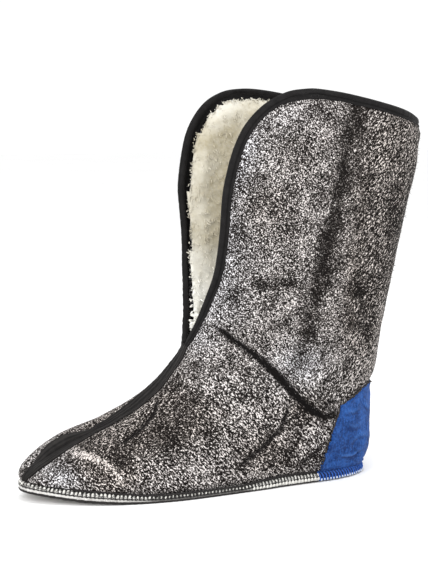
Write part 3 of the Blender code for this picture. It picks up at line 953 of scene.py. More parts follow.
def field_of(points):
    """Painted light and shade of the felt: brighter and darker fields."""
    x, z = points[:, 0], points[:, 2]
    total = np.zeros(len(points))
    for at_x, at_z, reach_x, reach_z, amount in FIELDS:
        total += amount * np.exp(-(((x - at_x) / reach_x) ** 2) - ((z - at_z) / reach_z) ** 2)
    return total


def coolness_of(points, fields):
    """How bluish the silver is, a tint painted with the light: most in the painted bright fields and along
    the throat, least towards the back.
    """
    x, z = points[:, 0], points[:, 2]
    along_throat = bell(x - THROAT_X, THROAT_REACH) * ease((z - THROAT_LOW) / THROAT_SOFT)
    towards_back = np.clip((x + 40) / 120, 0, 0.4)
    return np.clip((fields + 0.3) / 0.8 - towards_back + THROAT_COOL * along_throat, 0, 1)


UPPER_ROWS_IN_GAP = (8, 8, 9, 9, 9, 8, 8, 10, 12, 16, 18, 12, 9, 9, 9, 8, 6, 4, 4)
UPPER_COLUMNS = 110
# Marks on the felt: fold, crease and depth for its painted fold shade and crease lines, lay for its fibre
# lean, field for its painted light and shade, cool for the bluish tint that goes with it
FELT_MARKS = ("fold", "crease", "depth", "lay", "field", "cool")


def row_places(counts):
    """Places of mesh rows: how many in each gap between sections."""
    places = [0.0]
    for gap, rows in enumerate(counts):
        places.extend(gap + (step + 1) / rows for step in range(rows))
    return np.array(places)


def build_upper(material):
    """Felt wall with its folds, both halves joined along the vamp and the back."""
    places = row_places(UPPER_ROWS_IN_GAP)
    shares = np.linspace(0, 1, UPPER_COLUMNS + 1)
    patch = skin_patch(places, shares)
    mesh = bmesh.new()
    layers = value_layers(mesh, *FELT_MARKS)
    for side in SIDES:
        points, _, marks = patch[side]
        flat = points.reshape(-1, 3)
        fields = field_of(flat)
        own = np.stack([lay_of(flat, side), fields, coolness_of(flat, fields)], axis=-1)
        values = np.concatenate([marks, own.reshape(*points.shape[:2], 3)], axis=-1)
        for corner, place in add_grid(mesh, world(points)).items():
            for layer, value in zip(layers, values[place]):
                corner[layer] = value
    bmesh.ops.remove_doubles(mesh, verts=mesh.verts, dist=SKIN_WELD * MM)
    face_outward(mesh, world(BOOT_MIDDLE))
    piece = make_piece("felt_upper", mesh, material, ("upper",))
    press = piece.vertex_groups.new(name="press")
    spots = np.array([corner.co for corner in piece.data.vertices]) / MM - SHIFT
    weights = look_up(edge_distance(spots)[0], EDGE_WALL) * look_up(spots[:, 0], TIP_WALL)
    weights *= np.where(spots[:, 0] > HEEL_WALL_START, look_up(spots[:, 2], HEEL_WALL), 1.0)
    for number, weight in enumerate(weights):
        press.add([number], float(weight), "REPLACE")
    add_wall(piece, "wall", WALL).vertex_group = press.name


def strip_uv(points):
    """UV of a strip in metres: along its rows, across its columns."""
    along = run_along(points[:, points.shape[1] // 2])
    across = run_along(points[len(points) // 2])
    return np.stack(np.meshgrid(along, across, indexing="ij"), axis=-1) * MM


# Cross-section of a bound edge: distance in from the edge, depth through the wall, height off the face,
# painted shading (low in the stitch grooves and at the tape's edges, where the tape is painted darker)
BOUND_PROFILE = (
    (5.8, 0.0, 0.1, 0.2),
    (5.6, 0.0, 0.75, 0.5),
    (4.7, 0.0, 1.0, 0.6),
    (3.7, 0.0, 0.75, 0.3),
    (3.1, 0.0, 0.5, 0.0),
    (2.5, 0.0, 1.05, 0.5),
    (1.3, 0.0, 1.5, 1.0),
    (0.1, 0.0, 1.4, 0.8),
    (-0.9, 0.0, 0.8, 0.5),
    (-1.4, 0.25, 0.0, 0.4),
    (-1.55, 0.5, 0.0, 0.3),
    (-1.4, 0.75, 0.0, 0.3),
    (-0.9, 1.0, -0.8, 0.4),
    (0.1, 1.0, -1.4, 0.6),
    (1.2, 1.0, -1.5, 0.8),
    (2.4, 1.0, -1.05, 0.4),
    (2.9, 1.0, -0.6, 0.0),
    (4.3, 1.0, -1.0, 0.4),
    (5.1, 1.0, -0.75, 0.4),
    (5.3, 1.0, -0.1, 0.2),
    (-0.2, 0.95, 0.0, 0.2),
    (-0.2, 0.05, 0.0, 0.2),
)
STRIP_START = 2.0
STRIP_END = 8.15
EDGE_STEP = 1.6
EDGE_SMOOTHING = 10
# By place along the edge: width on the face, near and far side, width inside, and height
NEAR_WIDTH = ((2.0, 0.5), (2.6, 0.75), (4.0, 1.0))
FAR_WIDTH = ((2.0, 0.5), (2.6, 0.8), (4.0, 1.5), (7.0, 1.5), (8.5, 1.1), (10.0, 1.0))
INSIDE_WIDTH = ((8.0, 0.2), (9.5, 0.3), (11.0, 0.8), (13.0, 1.5), (15.0, 1.75), (19.0, 1.9))
STRIP_HEIGHT = ((2.0, 0.6), (2.5, 1.0))
FAR_HEIGHT = ((7.5, 1.0), (8.5, 0.45), (10.0, 0.55), (12.0, 1.0))


def edge_path():
    """Edge of both halves from the toe leaf up the vamp, throat and collar, with directions and places."""
    rising = np.linspace(STRIP_START, TOP, 281)
    rim = np.linspace(1, 0, 101)[1:]
    up = skin_patch(rising, np.array([1.0]))
    over = skin_patch(np.array([float(TOP)]), rim)
    points = [np.concatenate([up[side][0][:, 0], over[side][0][0]]) for side in SIDES]
    outs = [np.concatenate([up[side][1][:, 0], over[side][1][0]]) for side in SIDES]
    places = np.concatenate([rising, np.full(len(rim), float(TOP))])
    return there_and_back(*points), unit(there_and_back(*outs)), there_and_back(places, places)


def smooth_rows(values, times):
    """Even out the rows of an array along its first axis."""
    for _ in range(times):
        values[1:-1] = (values[:-2] + 2 * values[1:-1] + values[2:]) / 4
    return values


def edge_frame():
    """Evenly spaced edge points, their outward and inward directions, lengths and places."""
    path, out, places = edge_path()
    run = run_along(path)
    stops = np.linspace(0, run[-1], int(run[-1] / EDGE_STEP))
    path = smooth_rows(at_stops(stops, run, path), EDGE_SMOOTHING)
    out = unit(smooth_rows(at_stops(stops, run, out), EDGE_SMOOTHING))
    along = unit(np.gradient(path, axis=0))
    inward = unit(np.cross(out, along))
    if inward[len(inward) // 2][2] > 0:
        inward = -inward
    return path, out, inward, stops, np.interp(stops, run, places)


EDGE = edge_frame()


def skin_tree():
    """Search tree of the dressed outer face, to seat what lies on it."""
    corners, faces = [], []
    patch = skin_patch(row_places(UPPER_ROWS_IN_GAP), np.linspace(0, 1, 81))
    for side in SIDES:
        points = patch[side][0]
        rows, columns = points.shape[:2]
        index = np.arange(rows * columns).reshape(rows, columns) + len(corners)
        corners.extend(map(tuple, points.reshape(-1, 3)))
        quads = np.stack([index[:-1, :-1], index[1:, :-1], index[1:, 1:], index[:-1, 1:]], axis=-1)
        faces.extend(quads.reshape(-1, 4).tolist())
    return BVHTree.FromPolygons(corners, faces)


SKIN = skin_tree()


def on_skin(points):
    """Nearest points of the dressed outer face."""
    return np.array([SKIN.find_nearest(Vector(point))[0] for point in points])


def add_bound_edge(mesh, chosen):
    """Add the folded tape along a stretch of the edge."""
    path, out, inward, stops, places = (part[chosen] for part in EDGE)
    pucker = waves(stops, BINDING_PUCKER)
    room = np.where(places > HEEL, 1.0, np.clip(np.abs(path[:, 1]) / 2.5, 0.12, 1))
    far = stops[len(stops) // 2] > EDGE[3][-1] / 2
    width = look_up(places, FAR_WIDTH if far else NEAR_WIDTH)
    inside = look_up(places, INSIDE_WIDTH)
    slim = look_up(places, FAR_HEIGHT) if far else 1.0
    rows = []
    for distance, depth, height, _ in BOUND_PROFILE:
        reach = distance * (room if distance < 0 else width if depth < 0.5 else inside)
        spot = path + inward * reach[:, None]
        if distance > 0.5:
            spot = on_skin(spot)
        rise = height * slim * (1 + pucker) * look_up(places, STRIP_HEIGHT)
        wall = WALL * look_up(reach, EDGE_WALL)
        rows.append(spot + out * (rise - depth * wall)[:, None])
    points = np.stack(rows + rows[:1], axis=1)
    # Painted shade across the tape, from the profile's last column
    tape_shading = mesh.verts.layers.float.get("tape_shading") or mesh.verts.layers.float.new("tape_shading")
    for corner, (_, column) in add_grid(mesh, world(points), strip_uv(points)).items():
        corner[tape_shading] = BOUND_PROFILE[column % len(BOUND_PROFILE)][3]


def close_ends(mesh):
    """Weld a strip's long seam and cap its ends."""
    bmesh.ops.remove_doubles(mesh, verts=mesh.verts, dist=STRIP_WELD * MM)
    ends = [edge for edge in mesh.edges if edge.is_boundary]
    bmesh.ops.holes_fill(mesh, edges=ends, sides=0)
    bmesh.ops.recalc_face_normals(mesh, faces=mesh.faces)


def build_binding(material):
    """Bias tape folded over the collar and both throat edges."""
    mesh = bmesh.new()
    add_bound_edge(mesh, np.flatnonzero(EDGE[4] >= STRIP_END))
    close_ends(mesh)
    make_piece("collar_binding_tape", mesh, material, ("collar_binding",))


# Toe leaf of the tape: share of its length from the toe tip, its near and far edges from the ridge
LEAF_EDGES = (
    (0.0, -6.6, -4.6), (0.06, -8.8, -4.4), (0.15, -10.0, -2.2), (0.3, -10.9, 5.0),
    (0.45, -10.4, 8.4), (0.6, -9.6, 8.8), (0.8, -6.3, 5.6), (1.0, -0.8, 0.8),
)
LEAF_END = 2.9
# Height of the leaf by the share of its length
LEAF_HEIGHT = ((0.0, 0.9), (0.06, 1.9), (0.15, 2.2), (0.4, 1.8), (0.6, 1.0))
LEAF_COLUMNS = 25
LEAF_SINK = 0.4


def add_leaf(mesh):
    """Add the flat leaf of tape, from the toe tip up the vamp, with its far edge folded over."""
    tip = skin_patch(np.array([0.0]), np.linspace(0.15, 1, 12))[OUTER]
    ridge = skin_patch(np.linspace(0, LEAF_END, 60)[1:], np.array([1.0]))[OUTER]
    path = smooth_rows(np.concatenate([tip[0][0], ridge[0][:, 0]]), 6)
    out = unit(smooth_rows(np.concatenate([tip[1][0], ridge[1][:, 0]]), 8))
    run = run_along(path)
    share = run / run[-1]
    stops, near_edge, far_edge = zip(*LEAF_EDGES)
    near = np.interp(share, stops, near_edge)
    far = np.interp(share, stops, far_edge)
    aside = unit(np.cross(unit(np.gradient(path, axis=0)), out))
    aside = unit(smooth_rows(aside * np.sign(aside[:, 1:2]), 8))
    top, low = [], []
    for across in np.linspace(-1, 1, LEAF_COLUMNS):
        spot = path + aside * (near + (far - near) * (across + 1) / 2)[:, None]
        seat = smooth_rows(on_skin(spot), 4)
        fold = 0.8 * bell(across - 0.5, 0.2) - 0.45 * bell(across - 0.15, 0.12)
        rise = (look_up(share, LEAF_HEIGHT) + fold) * min(1.0, 0.15 + 9 * (1 - abs(across)))
        top.append(seat + out * rise[:, None])
        low.append(seat - out * LEAF_SINK)
    points = np.stack(top + low[::-1] + top[:1], axis=1)
    add_grid(mesh, world(points), strip_uv(points))


def build_tape(material):
    """Tape over the vamp seam: two bound edges side by side that end under a flat leaf at the toe."""
    mesh = bmesh.new()
    last = np.flatnonzero(EDGE[4] >= STRIP_END)
    add_bound_edge(mesh, np.arange(0, last[0] + 1))
    add_bound_edge(mesh, np.arange(last[-1], len(EDGE[4])))
    add_leaf(mesh)
    close_ends(mesh)
    make_piece("front_tape_ribbed", mesh, material, ("front_tape",))


# Outline of the heel panel seen from the side, as points of x and z
COUNTER_FRONT = ((-52.0, 5.0), (-49.5, 14.0), (-47.5, 25.0), (-43.0, 39.0), (-37.5, 52.0), (-36.0, 58.5))
COUNTER_TOP_EDGE = ((-36.0, 59.0), (-27.0, 62.5), (-14.0, 69.0), (-4.0, 70.5), (20.0, 70.5))
COUNTER_SNAP = 1.1
COUNTER_LIMIT = 72
# Across a wrinkle: its ridge and the trough under it
RIDGE_HEIGHT = 1.1
RIDGE_WIDTH = 1.5
TROUGH_DEPTH = 0.9
TROUGH_PLACE = 3
TROUGH_WIDTH = 2.2
CLOTH_LIFT = 1.5
CLOTH_LEAST = 1.1
CLOTH_THICK = 0.9
COUNTER_WRINKLES = (
    ((-30, 44), (-20, 40), (-8, 42)),
    ((-26, 28), (-14, 33), (0, 30)),
    ((-36, 20), (-22, 18), (-8, 22)),
    ((-14, 60), (-4, 52), (4, 50)),
    ((-33, 54), (-22, 52), (-12, 56)),
)


def build_counter(material):
    """Blue heel panel, cut to its side-view outline, with soft wrinkles and a turned edge."""
    places = np.concatenate([np.linspace(5.2, 9, 60), np.linspace(9, 12.2, 70)[1:]])
    shares = np.linspace(0, 0.5, 64)
    patch = skin_patch(places, shares)
    mesh = bmesh.new()
    fold, shade = value_layers(mesh, "fold", "shade")
    for side in SIDES:
        points, out, _ = patch[side]
        x, z = points[..., 0], points[..., 2]
        height = CLOTH_LIFT + ripples(points, CLOTH_RIPPLES)
        # lit marks each wrinkle's ridge for a painted highlight, under the strip just below it for painted
        # shade
        lit, under = np.zeros(x.shape), np.zeros(x.shape)
        for number, line in enumerate(COUNTER_WRINKLES):
            moved = [(px + 3.0 * (side > 0) * (number % 2), pz - 2.0 * (side > 0)) for px, pz in line]
            signed, ends = fold_distance(x, z, moved)
            trough = TROUGH_DEPTH * bell(signed + TROUGH_PLACE, TROUGH_WIDTH)
            height += ends * (RIDGE_HEIGHT * bell(signed, RIDGE_WIDTH) - trough)
            lit = np.maximum(lit, ends * bell(signed, 1.3))
            under = np.maximum(under, ends * bell(signed + 1.9, 1.0))
        front_x = look_up(z, [(up, along) for along, up in COUNTER_FRONT])
        front_x += 0.45 * np.sin(z * 0.8) + 0.3 * np.sin(z * 2.1 + 1)
        past_front, past_top = x - front_x, look_up(x, COUNTER_TOP_EDGE) - z
        from_edge = np.minimum(past_front, past_top)
        height += 0.5 * bell(from_edge - 2.0, 1.6) - 0.5 * bell(z - 8.5, 2.0)
        inside = (from_edge > -COUNTER_SNAP) & (z < COUNTER_LIMIT)
        dressed = points + out * np.maximum(height, CLOTH_LEAST)[..., None]
        uv = np.stack([0.9 * x + 0.5 * points[..., 1] * side, z], axis=-1) * MM
        dressed[..., 0] -= np.where(past_front < past_top, np.minimum(past_front, 0), 0)
        dressed[..., 2] += np.where(past_front < past_top, 0, np.minimum(past_top, 0))
        drop = []
        for corner, place in add_grid(mesh, world(dressed), uv).items():
            corner[fold] = lit[place]
            corner[shade] = under[place]
            if not inside[place]:
                drop.append(corner)
        bmesh.ops.delete(mesh, geom=drop, context="VERTS")
    bmesh.ops.remove_doubles(mesh, verts=mesh.verts, dist=SKIN_WELD * MM)
    face_outward(mesh, world(HEEL_MIDDLE))
    piece = make_piece("heel_counter_cloth", mesh, material, ("heel_counter",))
    add_wall(piece, "cloth", CLOTH_THICK)


LIP_LIFT = 1.5
WELL_OUTSIDE = 200


def facing_out(spot, normal):
    """A face's normal, turned away from the middle of the heel."""
    return normal if normal.dot(Vector((spot.x + 40, spot.y, 0))) > 0 else -normal


def build_counter_lip(material):
    """Raw felt edge that lies along the heel panel's front and top, near-black to stand for the shadow line
    there too: partly painted shade.
    """
    halves = []
    for side in SIDES:
        line = np.array(COUNTER_FRONT[1:] + COUNTER_TOP_EDGE[1:-1])
        run = run_along(line)
        spots = at_stops(np.linspace(0, run[-1], 60), run, line)
        inward = Vector((0, -side, 0))
        hits = [SKIN.ray_cast(Vector((x, side * WELL_OUTSIDE, z)), inward) for x, z in spots]
        reach = np.linspace(abs(hits[-1][0].y), 0, 16)[1:]
        forward = Vector((-1, 0, 0))
        hits += [SKIN.ray_cast(Vector((WELL_OUTSIDE, side * y, spots[-1, 1])), forward) for y in reach]
        halves.append(np.array([spot + facing_out(spot, normal) * LIP_LIFT for spot, normal, _, _ in hits]))
    path = there_and_back(*halves)
    path = smooth_rows(path, 3) + RNG.normal(0, 0.28, path.shape)
    thick = RNG.uniform(0.25, 0.85, len(path)) * MM
    tube_piece("counter_lip", [(world(path)[None], thick[None], 6)], material)


def seam_frame(first, last, step):
    """Even stations along one end of the sole's outline: points and outward directions in plan."""
    turns = np.linspace(first, last, 400)
    path = there_and_back(*(np.array([foot_edge(turn, side) for turn in turns]) for side in SIDES))
    run = run_along(path)
    stops = np.arange(0, run[-1], step)
    path = at_stops(stops, run, path)
    along = unit(np.gradient(path, axis=0))
    out = np.stack([along[:, 1], -along[:, 0]], axis=-1)
    if np.sum((path - path.mean(axis=0)) * out) < 0:
        out = -out
    return path, out, along, stops


# Cross-section of the sewn edge by reach and height
SEAM_PROFILE = (
    (-0.8, 1.0), (1.6, 0.75), (2.7, 0.85), (3.2, 1.6), (3.4, 2.8),
    (3.2, 4.2), (2.6, 5.2), (1.5, 5.8), (0.0, 6.1), (-0.8, 5.8),
)
# Shares of its reach and height that show, by x: the felt bulges and hangs over it along the waist
SEAM_REACH = (
    (-271, 1.3), (-255, 1.1), (-215, 1.0), (-185, 0.5), (-120, 0.45),
    (-95, 0.95), (-25, 1.1), (-8, 0.85), (0, 0.75),
)
SEAM_HEIGHT = ((-271, 1.0), (-225, 1.0), (-190, 0.66), (-120, 0.64), (-85, 1.0), (0, 1.0))
SEAM_STEP = 1.2
# How dark the painted shade is where the felt hangs over the edge
SEAM_OVERHANG_SHADE = 0.85
THREAD_STEP = 0.9


def seam_spots(path, out, reach, height, further, higher):
    """Points at a reach and height of the sewn edge, each moved a little further out and up."""
    x = path[:, 0]
    moved = path + out * (reach * look_up(x, SEAM_REACH) + further)[:, None]
    z = height * look_up(x, SEAM_HEIGHT) + toe_spring(x) + higher
    return np.concatenate([moved, z[:, None]], axis=1)


def build_seam_edge(name, first, last, material, node):
    """Soft felt edge under the overlock stitches."""
    path, out, _, stops = seam_frame(first, last, SEAM_STEP)
    swell = waves(stops, SEAM_SWELL)
    rows = []
    for reach, height in SEAM_PROFILE:
        rows.append(seam_spots(path, out, reach, height, swell * (reach > 1), 0.1 * swell))
    points = np.stack(rows + rows[:1], axis=1)
    # Where the felt hangs over the seam along the waist: painted shade on the edge
    hidden = np.clip((0.95 - look_up(path[:, 0], SEAM_REACH)) / 0.45, 0, 1) * (path[:, 0] < -60)
    mesh = bmesh.new()
    overhang_shade = mesh.verts.layers.float.new("overhang_shade")
    for corner, (row, _) in add_grid(mesh, world(points), strip_uv(points)).items():
        corner[overhang_shade] = SEAM_OVERHANG_SHADE * hidden[row]
    close_ends(mesh)
    make_piece(name, mesh, material, (node,))


def stitch_paths(frame_of_seam, stops, shake):
    """One thread for each station, through stops of reach, height and slant."""
    path, out, along, _ = frame_of_seam
    rings = []
    for reach, height, slant in stops:
        stray = RNG.normal(0, shake, (len(path), 3))
        ring = seam_spots(path, out, reach, height, stray[:, 0], stray[:, 2])
        ring[:, :2] += along * (slant + stray[:, 1:2])
        rings.append(ring)
    return np.stack(rings, axis=1)


def running_thread(first, last, reach, height, wobble, pitch):
    """One long thread that runs along the edge with a small wobble."""
    path, out, _, stops = seam_frame(first, last, THREAD_STEP)
    turn = stops * 2 * np.pi / pitch
    return seam_spots(path, out, reach, height, wobble * np.sin(turn), wobble * np.cos(turn))[None]


# Stitches across the edge by reach, height and slant, with their radii
BEAD_STEP = 2.9
BEAD = ((1.2, 6.8, -0.2), (2.2, 6.6, -0.1), (2.9, 6.0, 0.1), (3.3, 5.3, 0.2), (3.4, 4.8, 0.3))
BEAD_RADII = (0.4, 0.95, 1.1, 0.95, 0.35)
BRIDGE = ((-0.4, 7.9, 1.3), (1.2, 7.6, 1.4), (2.6, 6.7, 1.5), (3.3, 5.7, 1.55), (3.5, 4.6, 1.6))
LOOP = ((2.9, 4.6, -0.2), (3.5, 3.9, 0.0), (3.6, 2.8, 0.1), (3.3, 1.9, 0.2))
LOOP_RADII = (0.5, 0.95, 1.0, 0.6)
LOOP_START = -112.0
RIB_STEP = 2.8
RIB = (
    (-0.9, 6.9, -0.5), (0.8, 7.1, -0.3), (2.5, 6.4, 0.0), (3.65, 4.9, 0.2), (3.85, 3.0, 0.4), (3.3, 1.3, 0.6),
)
KNOT = ((3.6, 2.7, 1.4), (4.0, 2.2, 1.45), (4.0, 1.6, 1.5), (3.5, 1.25, 1.5))
# Threads along the edge by reach, height, wobble and pitch
# The top thread is dark overlock thread, made thick to stand for the shadow line under the felt's edge too:
# partly painted shade
TOP_THREAD = (0.9, 8.0, 0.25, 3.4)
UNDER_THREAD = (3.3, 4.2, 0.25, 2.9)
LOW_THREAD = (2.9, 1.1, 0.05, 5.0)
HEEL_THREAD = (-0.4, 7.2, 0.25, 3.0)
# By x: size of the pale loops and radius of the low thread
BEAD_SIZE = ((-210, 1.0), (-180, 0.55), (-125, 0.55), (-100, 0.6))
LOW_RADIUS = ((-271, 1.0), (-205, 1.0), (-180, 0.65), (0, 0.6))
# Turns at which the heel's edge and its stitches begin
HEEL_EDGE_TURN = COUNTER_TURN + 0.2
HEEL_STITCH_TURN = COUNTER_TURN + 0.6


def build_sole_stitches(black, pale):
    """Overlock round the foot: pale loops on a dark thread, and a dark thread under the felt band."""
    seam = seam_frame(COUNTER_TURN, 0, BEAD_STEP)
    beads = world(stitch_paths(seam, BEAD, 0.2))
    shrink = look_up(seam[0][:, 0], BEAD_SIZE)
    sizes = np.array(BEAD_RADII) * (shrink * RNG.uniform(0.65, 1.1, len(beads)))[:, None]
    fat_seam = tuple(part[seam[0][:, 0] > LOOP_START] for part in seam)
    loops = world(stitch_paths(fat_seam, LOOP, 0.12))
    bundles = [(beads, sizes * MM, 6), (loops, np.array(LOOP_RADII) * MM, 6)]
    tube_piece("sole_loops", bundles, pale)
    bridges = world(stitch_paths(seam, BRIDGE, 0.15))
    top, under, low = (
        running_thread(COUNTER_TURN, 0, *thread) for thread in (TOP_THREAD, UNDER_THREAD, LOW_THREAD)
    )
    thick = look_up(low[..., 0], LOW_RADIUS)
    bundles = [
        (bridges, 0.4 * MM, 5),
        (world(top), 1.0 * MM, 6),
        (world(under), 0.45 * MM, 6),
        (world(low), thick * MM, 6),
    ]
    tube_piece("sole_threads", bundles, black)


def build_heel_stitches(blue, pale):
    """Overlock round the heel in blue thread, with pale knots along its foot."""
    seam = seam_frame(HEEL_STITCH_TURN, 180, RIB_STEP)
    ribs = world(stitch_paths(seam, RIB, 0.12))
    top = world(running_thread(HEEL_STITCH_TURN, 180, *HEEL_THREAD))
    tube_piece("heel_threads", [(ribs, 0.6 * MM, 6), (top, 0.45 * MM, 6)], blue)
    knots = world(stitch_paths(seam, KNOT, 0.1))
    tube_piece("heel_knots", [(knots, 0.7 * MM, 5)], pale)


PILE_DEPTH = 5.5
PILE_BACK = 2.2
PILE_LOW = INSOLE_LOW + 2.0
BACKING_THICK = 1.0
# By height: width of binding left bare inside; by height and by room to the free edge: how much painted beige
# shade the wool gets
BARE_WIDTH = ((110, 0.1), (150, 0.5), (190, 2.6), (240, 5.6), (290, 7.2))
BEIGE_SHADE_BY_HEIGHT = ((90, 0.0), (150, 0.1), (185, 0.95), (225, 1.0), (262, 0.95), (290, 0.9))
BEIGE_SHADE_BY_ROOM = ((4, 0.78), (22, 1.0))


def pile_edge(points):
    """Width of binding left bare inside: narrow at the throat, wider round the collar."""
    return look_up(points[..., 2], BARE_WIDTH)


def beige_shade_of(points, room):
    """Painted beige shade of the wool: most about the middle of the shaft away from the throat, white low
    down.
    """
    return look_up(points[..., 2], BEIGE_SHADE_BY_HEIGHT) * look_up(room, BEIGE_SHADE_BY_ROOM)


def edge_distance(points):
    """Distance of points from the upper's free edge, and the way to it."""
    path = EDGE[0]
    tree = KDTree(len(path))
    for number, point in enumerate(path):
        tree.insert(Vector(point), number)
    tree.balance()
    flat = points.reshape(-1, 3)
    gap = path[[tree.find(Vector(point))[1] for point in flat]] - flat
    return np.linalg.norm(gap, axis=-1).reshape(points.shape[:-1]), unit(gap).reshape(points.shape)


def pile_surface():
    """Face of the pile lining on both sides: points, ways into the boot and to its free edge, room, lumps."""
    places = np.concatenate([np.linspace(2.0, THROAT, 50), np.linspace(THROAT, TOP - 0.02, 120)[1:]])
    shares = np.linspace(0, 1, 90)
    patch = skin_patch(places, shares)
    faces = {}
    for side in SIDES:
        points, out, _ = patch[side]
        room, to_edge = edge_distance(points)
        past = room - pile_edge(points)
        thick = WALL * look_up(room, EDGE_WALL) + PILE_BACK + PILE_DEPTH * np.clip(past / 9.0, 0, 1) ** 0.6
        lumps = ripples(points, PILE_LUMPS)
        depth = thick + lumps * np.clip((past + 2) / 8, 0.25, 1)
        face = points - out * depth[..., None]
        face[..., 2] = np.maximum(face[..., 2], PILE_LOW + toe_spring(face[..., 0]))
        faces[side] = (face, -out, to_edge, room, lumps)
    return faces


def build_lining(material, faces):
    """Pile lining inside the upper, ending in a ragged line short of the binding's edge."""
    mesh = bmesh.new()
    depth, beige_shade = value_layers(mesh, "depth", "beige_shade")
    for side in SIDES:
        points, _, _, room, lumps = faces[side]
        beige_shades = beige_shade_of(points, room)
        bare = pile_edge(points)
        ragged = bare + ripples(points, RAGGED_EDGE) * np.clip(bare / 4, 0.1, 1)
        drop = []
        for corner, place in add_grid(mesh, world(points)).items():
            corner[depth] = np.clip(0.5 - 0.4 * lumps[place], 0, 1)
            corner[beige_shade] = beige_shades[place]
            if room[place] < ragged[place]:
                drop.append(corner)
        bmesh.ops.delete(mesh, geom=drop, context="VERTS")
    bmesh.ops.remove_doubles(mesh, verts=mesh.verts, dist=PILE_WELD * MM)
    face_outward(mesh, world(BOOT_MIDDLE))
    bmesh.ops.reverse_faces(mesh, faces=mesh.faces)
    piece = make_piece("pile_lining", mesh, material)
    add_wall(piece, "backing", BACKING_THICK)


TUFT_COUNT = 12000
TUFT_RADII = (0.6, 0.5, 0.1)
TUFT_SIDES = 3
TUFT_FIRST_ROW = 36
# By distance past the bare binding: share of the fringe's lean, and of a tuft's length
FRINGE_SHARE = ((1.0, 1.0), (4.0, 0.0))
TUFT_GROWTH = ((0.5, 0.6), (5.0, 1.0))
HAIR_CURL = 0.3
TUFT_LENGTHS = (2.2, 4.4)
TUFT_ROOT = 0.5
TUFT_REACH = 0.85


def scatter(points, weight, count):
    """Draw random places on a face, as many for the same area."""
    along, across = (np.linalg.norm(np.gradient(points, axis=axis), axis=-1) for axis in (0, 1))
    chance = (weight * along * across).reshape(-1)
    return RNG.choice(chance.size, count, p=chance / chance.sum())


def picked(parts, picks):
    """Chosen places of several grids."""
    return [part.reshape(-1, *part.shape[2:])[picks] for part in parts]


def joined(sides):
    """What was picked on both sides, put end to end."""
    return [np.concatenate(parts) for parts in zip(*sides)]


def hairs(root, lean, curl, length, rings):
    """Paths of hairs from their roots along a lean, bent towards a curl."""
    steps = np.linspace(0, 1, rings)
    return np.stack([root + lean * step + curl * length * HAIR_CURL * step**2 for step in steps], axis=1)


def build_tufts(material, faces):
    """Locks of wool standing on the lining, denser along its ragged edge."""
    sides = []
    for side in SIDES:
        points, into, to_edge, room, _ = faces[side]
        past = room - pile_edge(points)
        weight = np.where(past > 0.3, 1.0, 0.0) * np.where(past < 2.5, 4.0, 1.0)
        weight[:TUFT_FIRST_ROW] = 0
        picks = scatter(points, weight, TUFT_COUNT // 2)
        sides.append(picked((points, into, to_edge, past, beige_shade_of(points, room)), picks))
    start, way, edge_way, past, beige_shade = joined(sides)
    start = start + RNG.normal(0, 0.6, start.shape)
    fringe = 0.7 * way + 0.9 * edge_way + RNG.normal(0, 0.4, way.shape)
    nap = 0.3 * way + RNG.normal(0, 0.3, way.shape) + np.array([0, 0, -1.0])
    near = look_up(past, FRINGE_SHARE)[:, None]
    lean = unit(near * fringe + (1 - near) * nap)
    curl = unit(np.cross(lean, RNG.normal(size=way.shape)))
    length = (RNG.uniform(*TUFT_LENGTHS, len(start)) * look_up(past, TUFT_GROWTH))[:, None]
    rings = hairs(start - way * TUFT_ROOT, lean * length * TUFT_REACH, curl, length, len(TUFT_RADII))
    rings[..., 2] = np.maximum(rings[..., 2], PILE_LOW)
    radii = np.array(TUFT_RADII)[None, :] * RNG.uniform(0.7, 1.2, (len(start), 1))
    piece = tube_piece("pile_tufts", [(world(rings), radii * MM, TUFT_SIDES)], material)
    piece.data.shade_flat()
    set_attribute(piece.data, "beige_shade", np.repeat(beige_shade, TUFT_SIDES * len(TUFT_RADII)))


FIBRE_COUNT = 5200
FIBRE_RADII = (0.10, 0.09, 0.04)
FIBRE_LENGTHS = (1.2, 3.0)
FIBRE_ROOT = 0.3


def build_fibres(material):
    """Loose felt fibres standing off the upper."""
    places = np.linspace(1.2, TOP - 0.3, 160)
    patch = skin_patch(places, np.linspace(0.02, 0.9, 90))
    sides = []
    for side in SIDES:
        points, out, _ = patch[side]
        sides.append(picked((points, out), scatter(points, 1.0, FIBRE_COUNT // 2)))
    start, way = joined(sides)
    lean = unit(way * 0.55 + RNG.normal(0, 0.7, way.shape))
    curl = unit(np.cross(lean, way))
    length = RNG.uniform(*FIBRE_LENGTHS, len(start))[:, None]
    rings = hairs(start - way * FIBRE_ROOT, lean * length, curl, length, len(FIBRE_RADII))
    bundle = (world(rings), np.array(FIBRE_RADII) * MM, 3)
    tube_piece("felt_fibres", [bundle], material)


FOOTBED_FIRST = 3
FOOTBED_LAST = 177
FOOTBED_RIM = 0.35


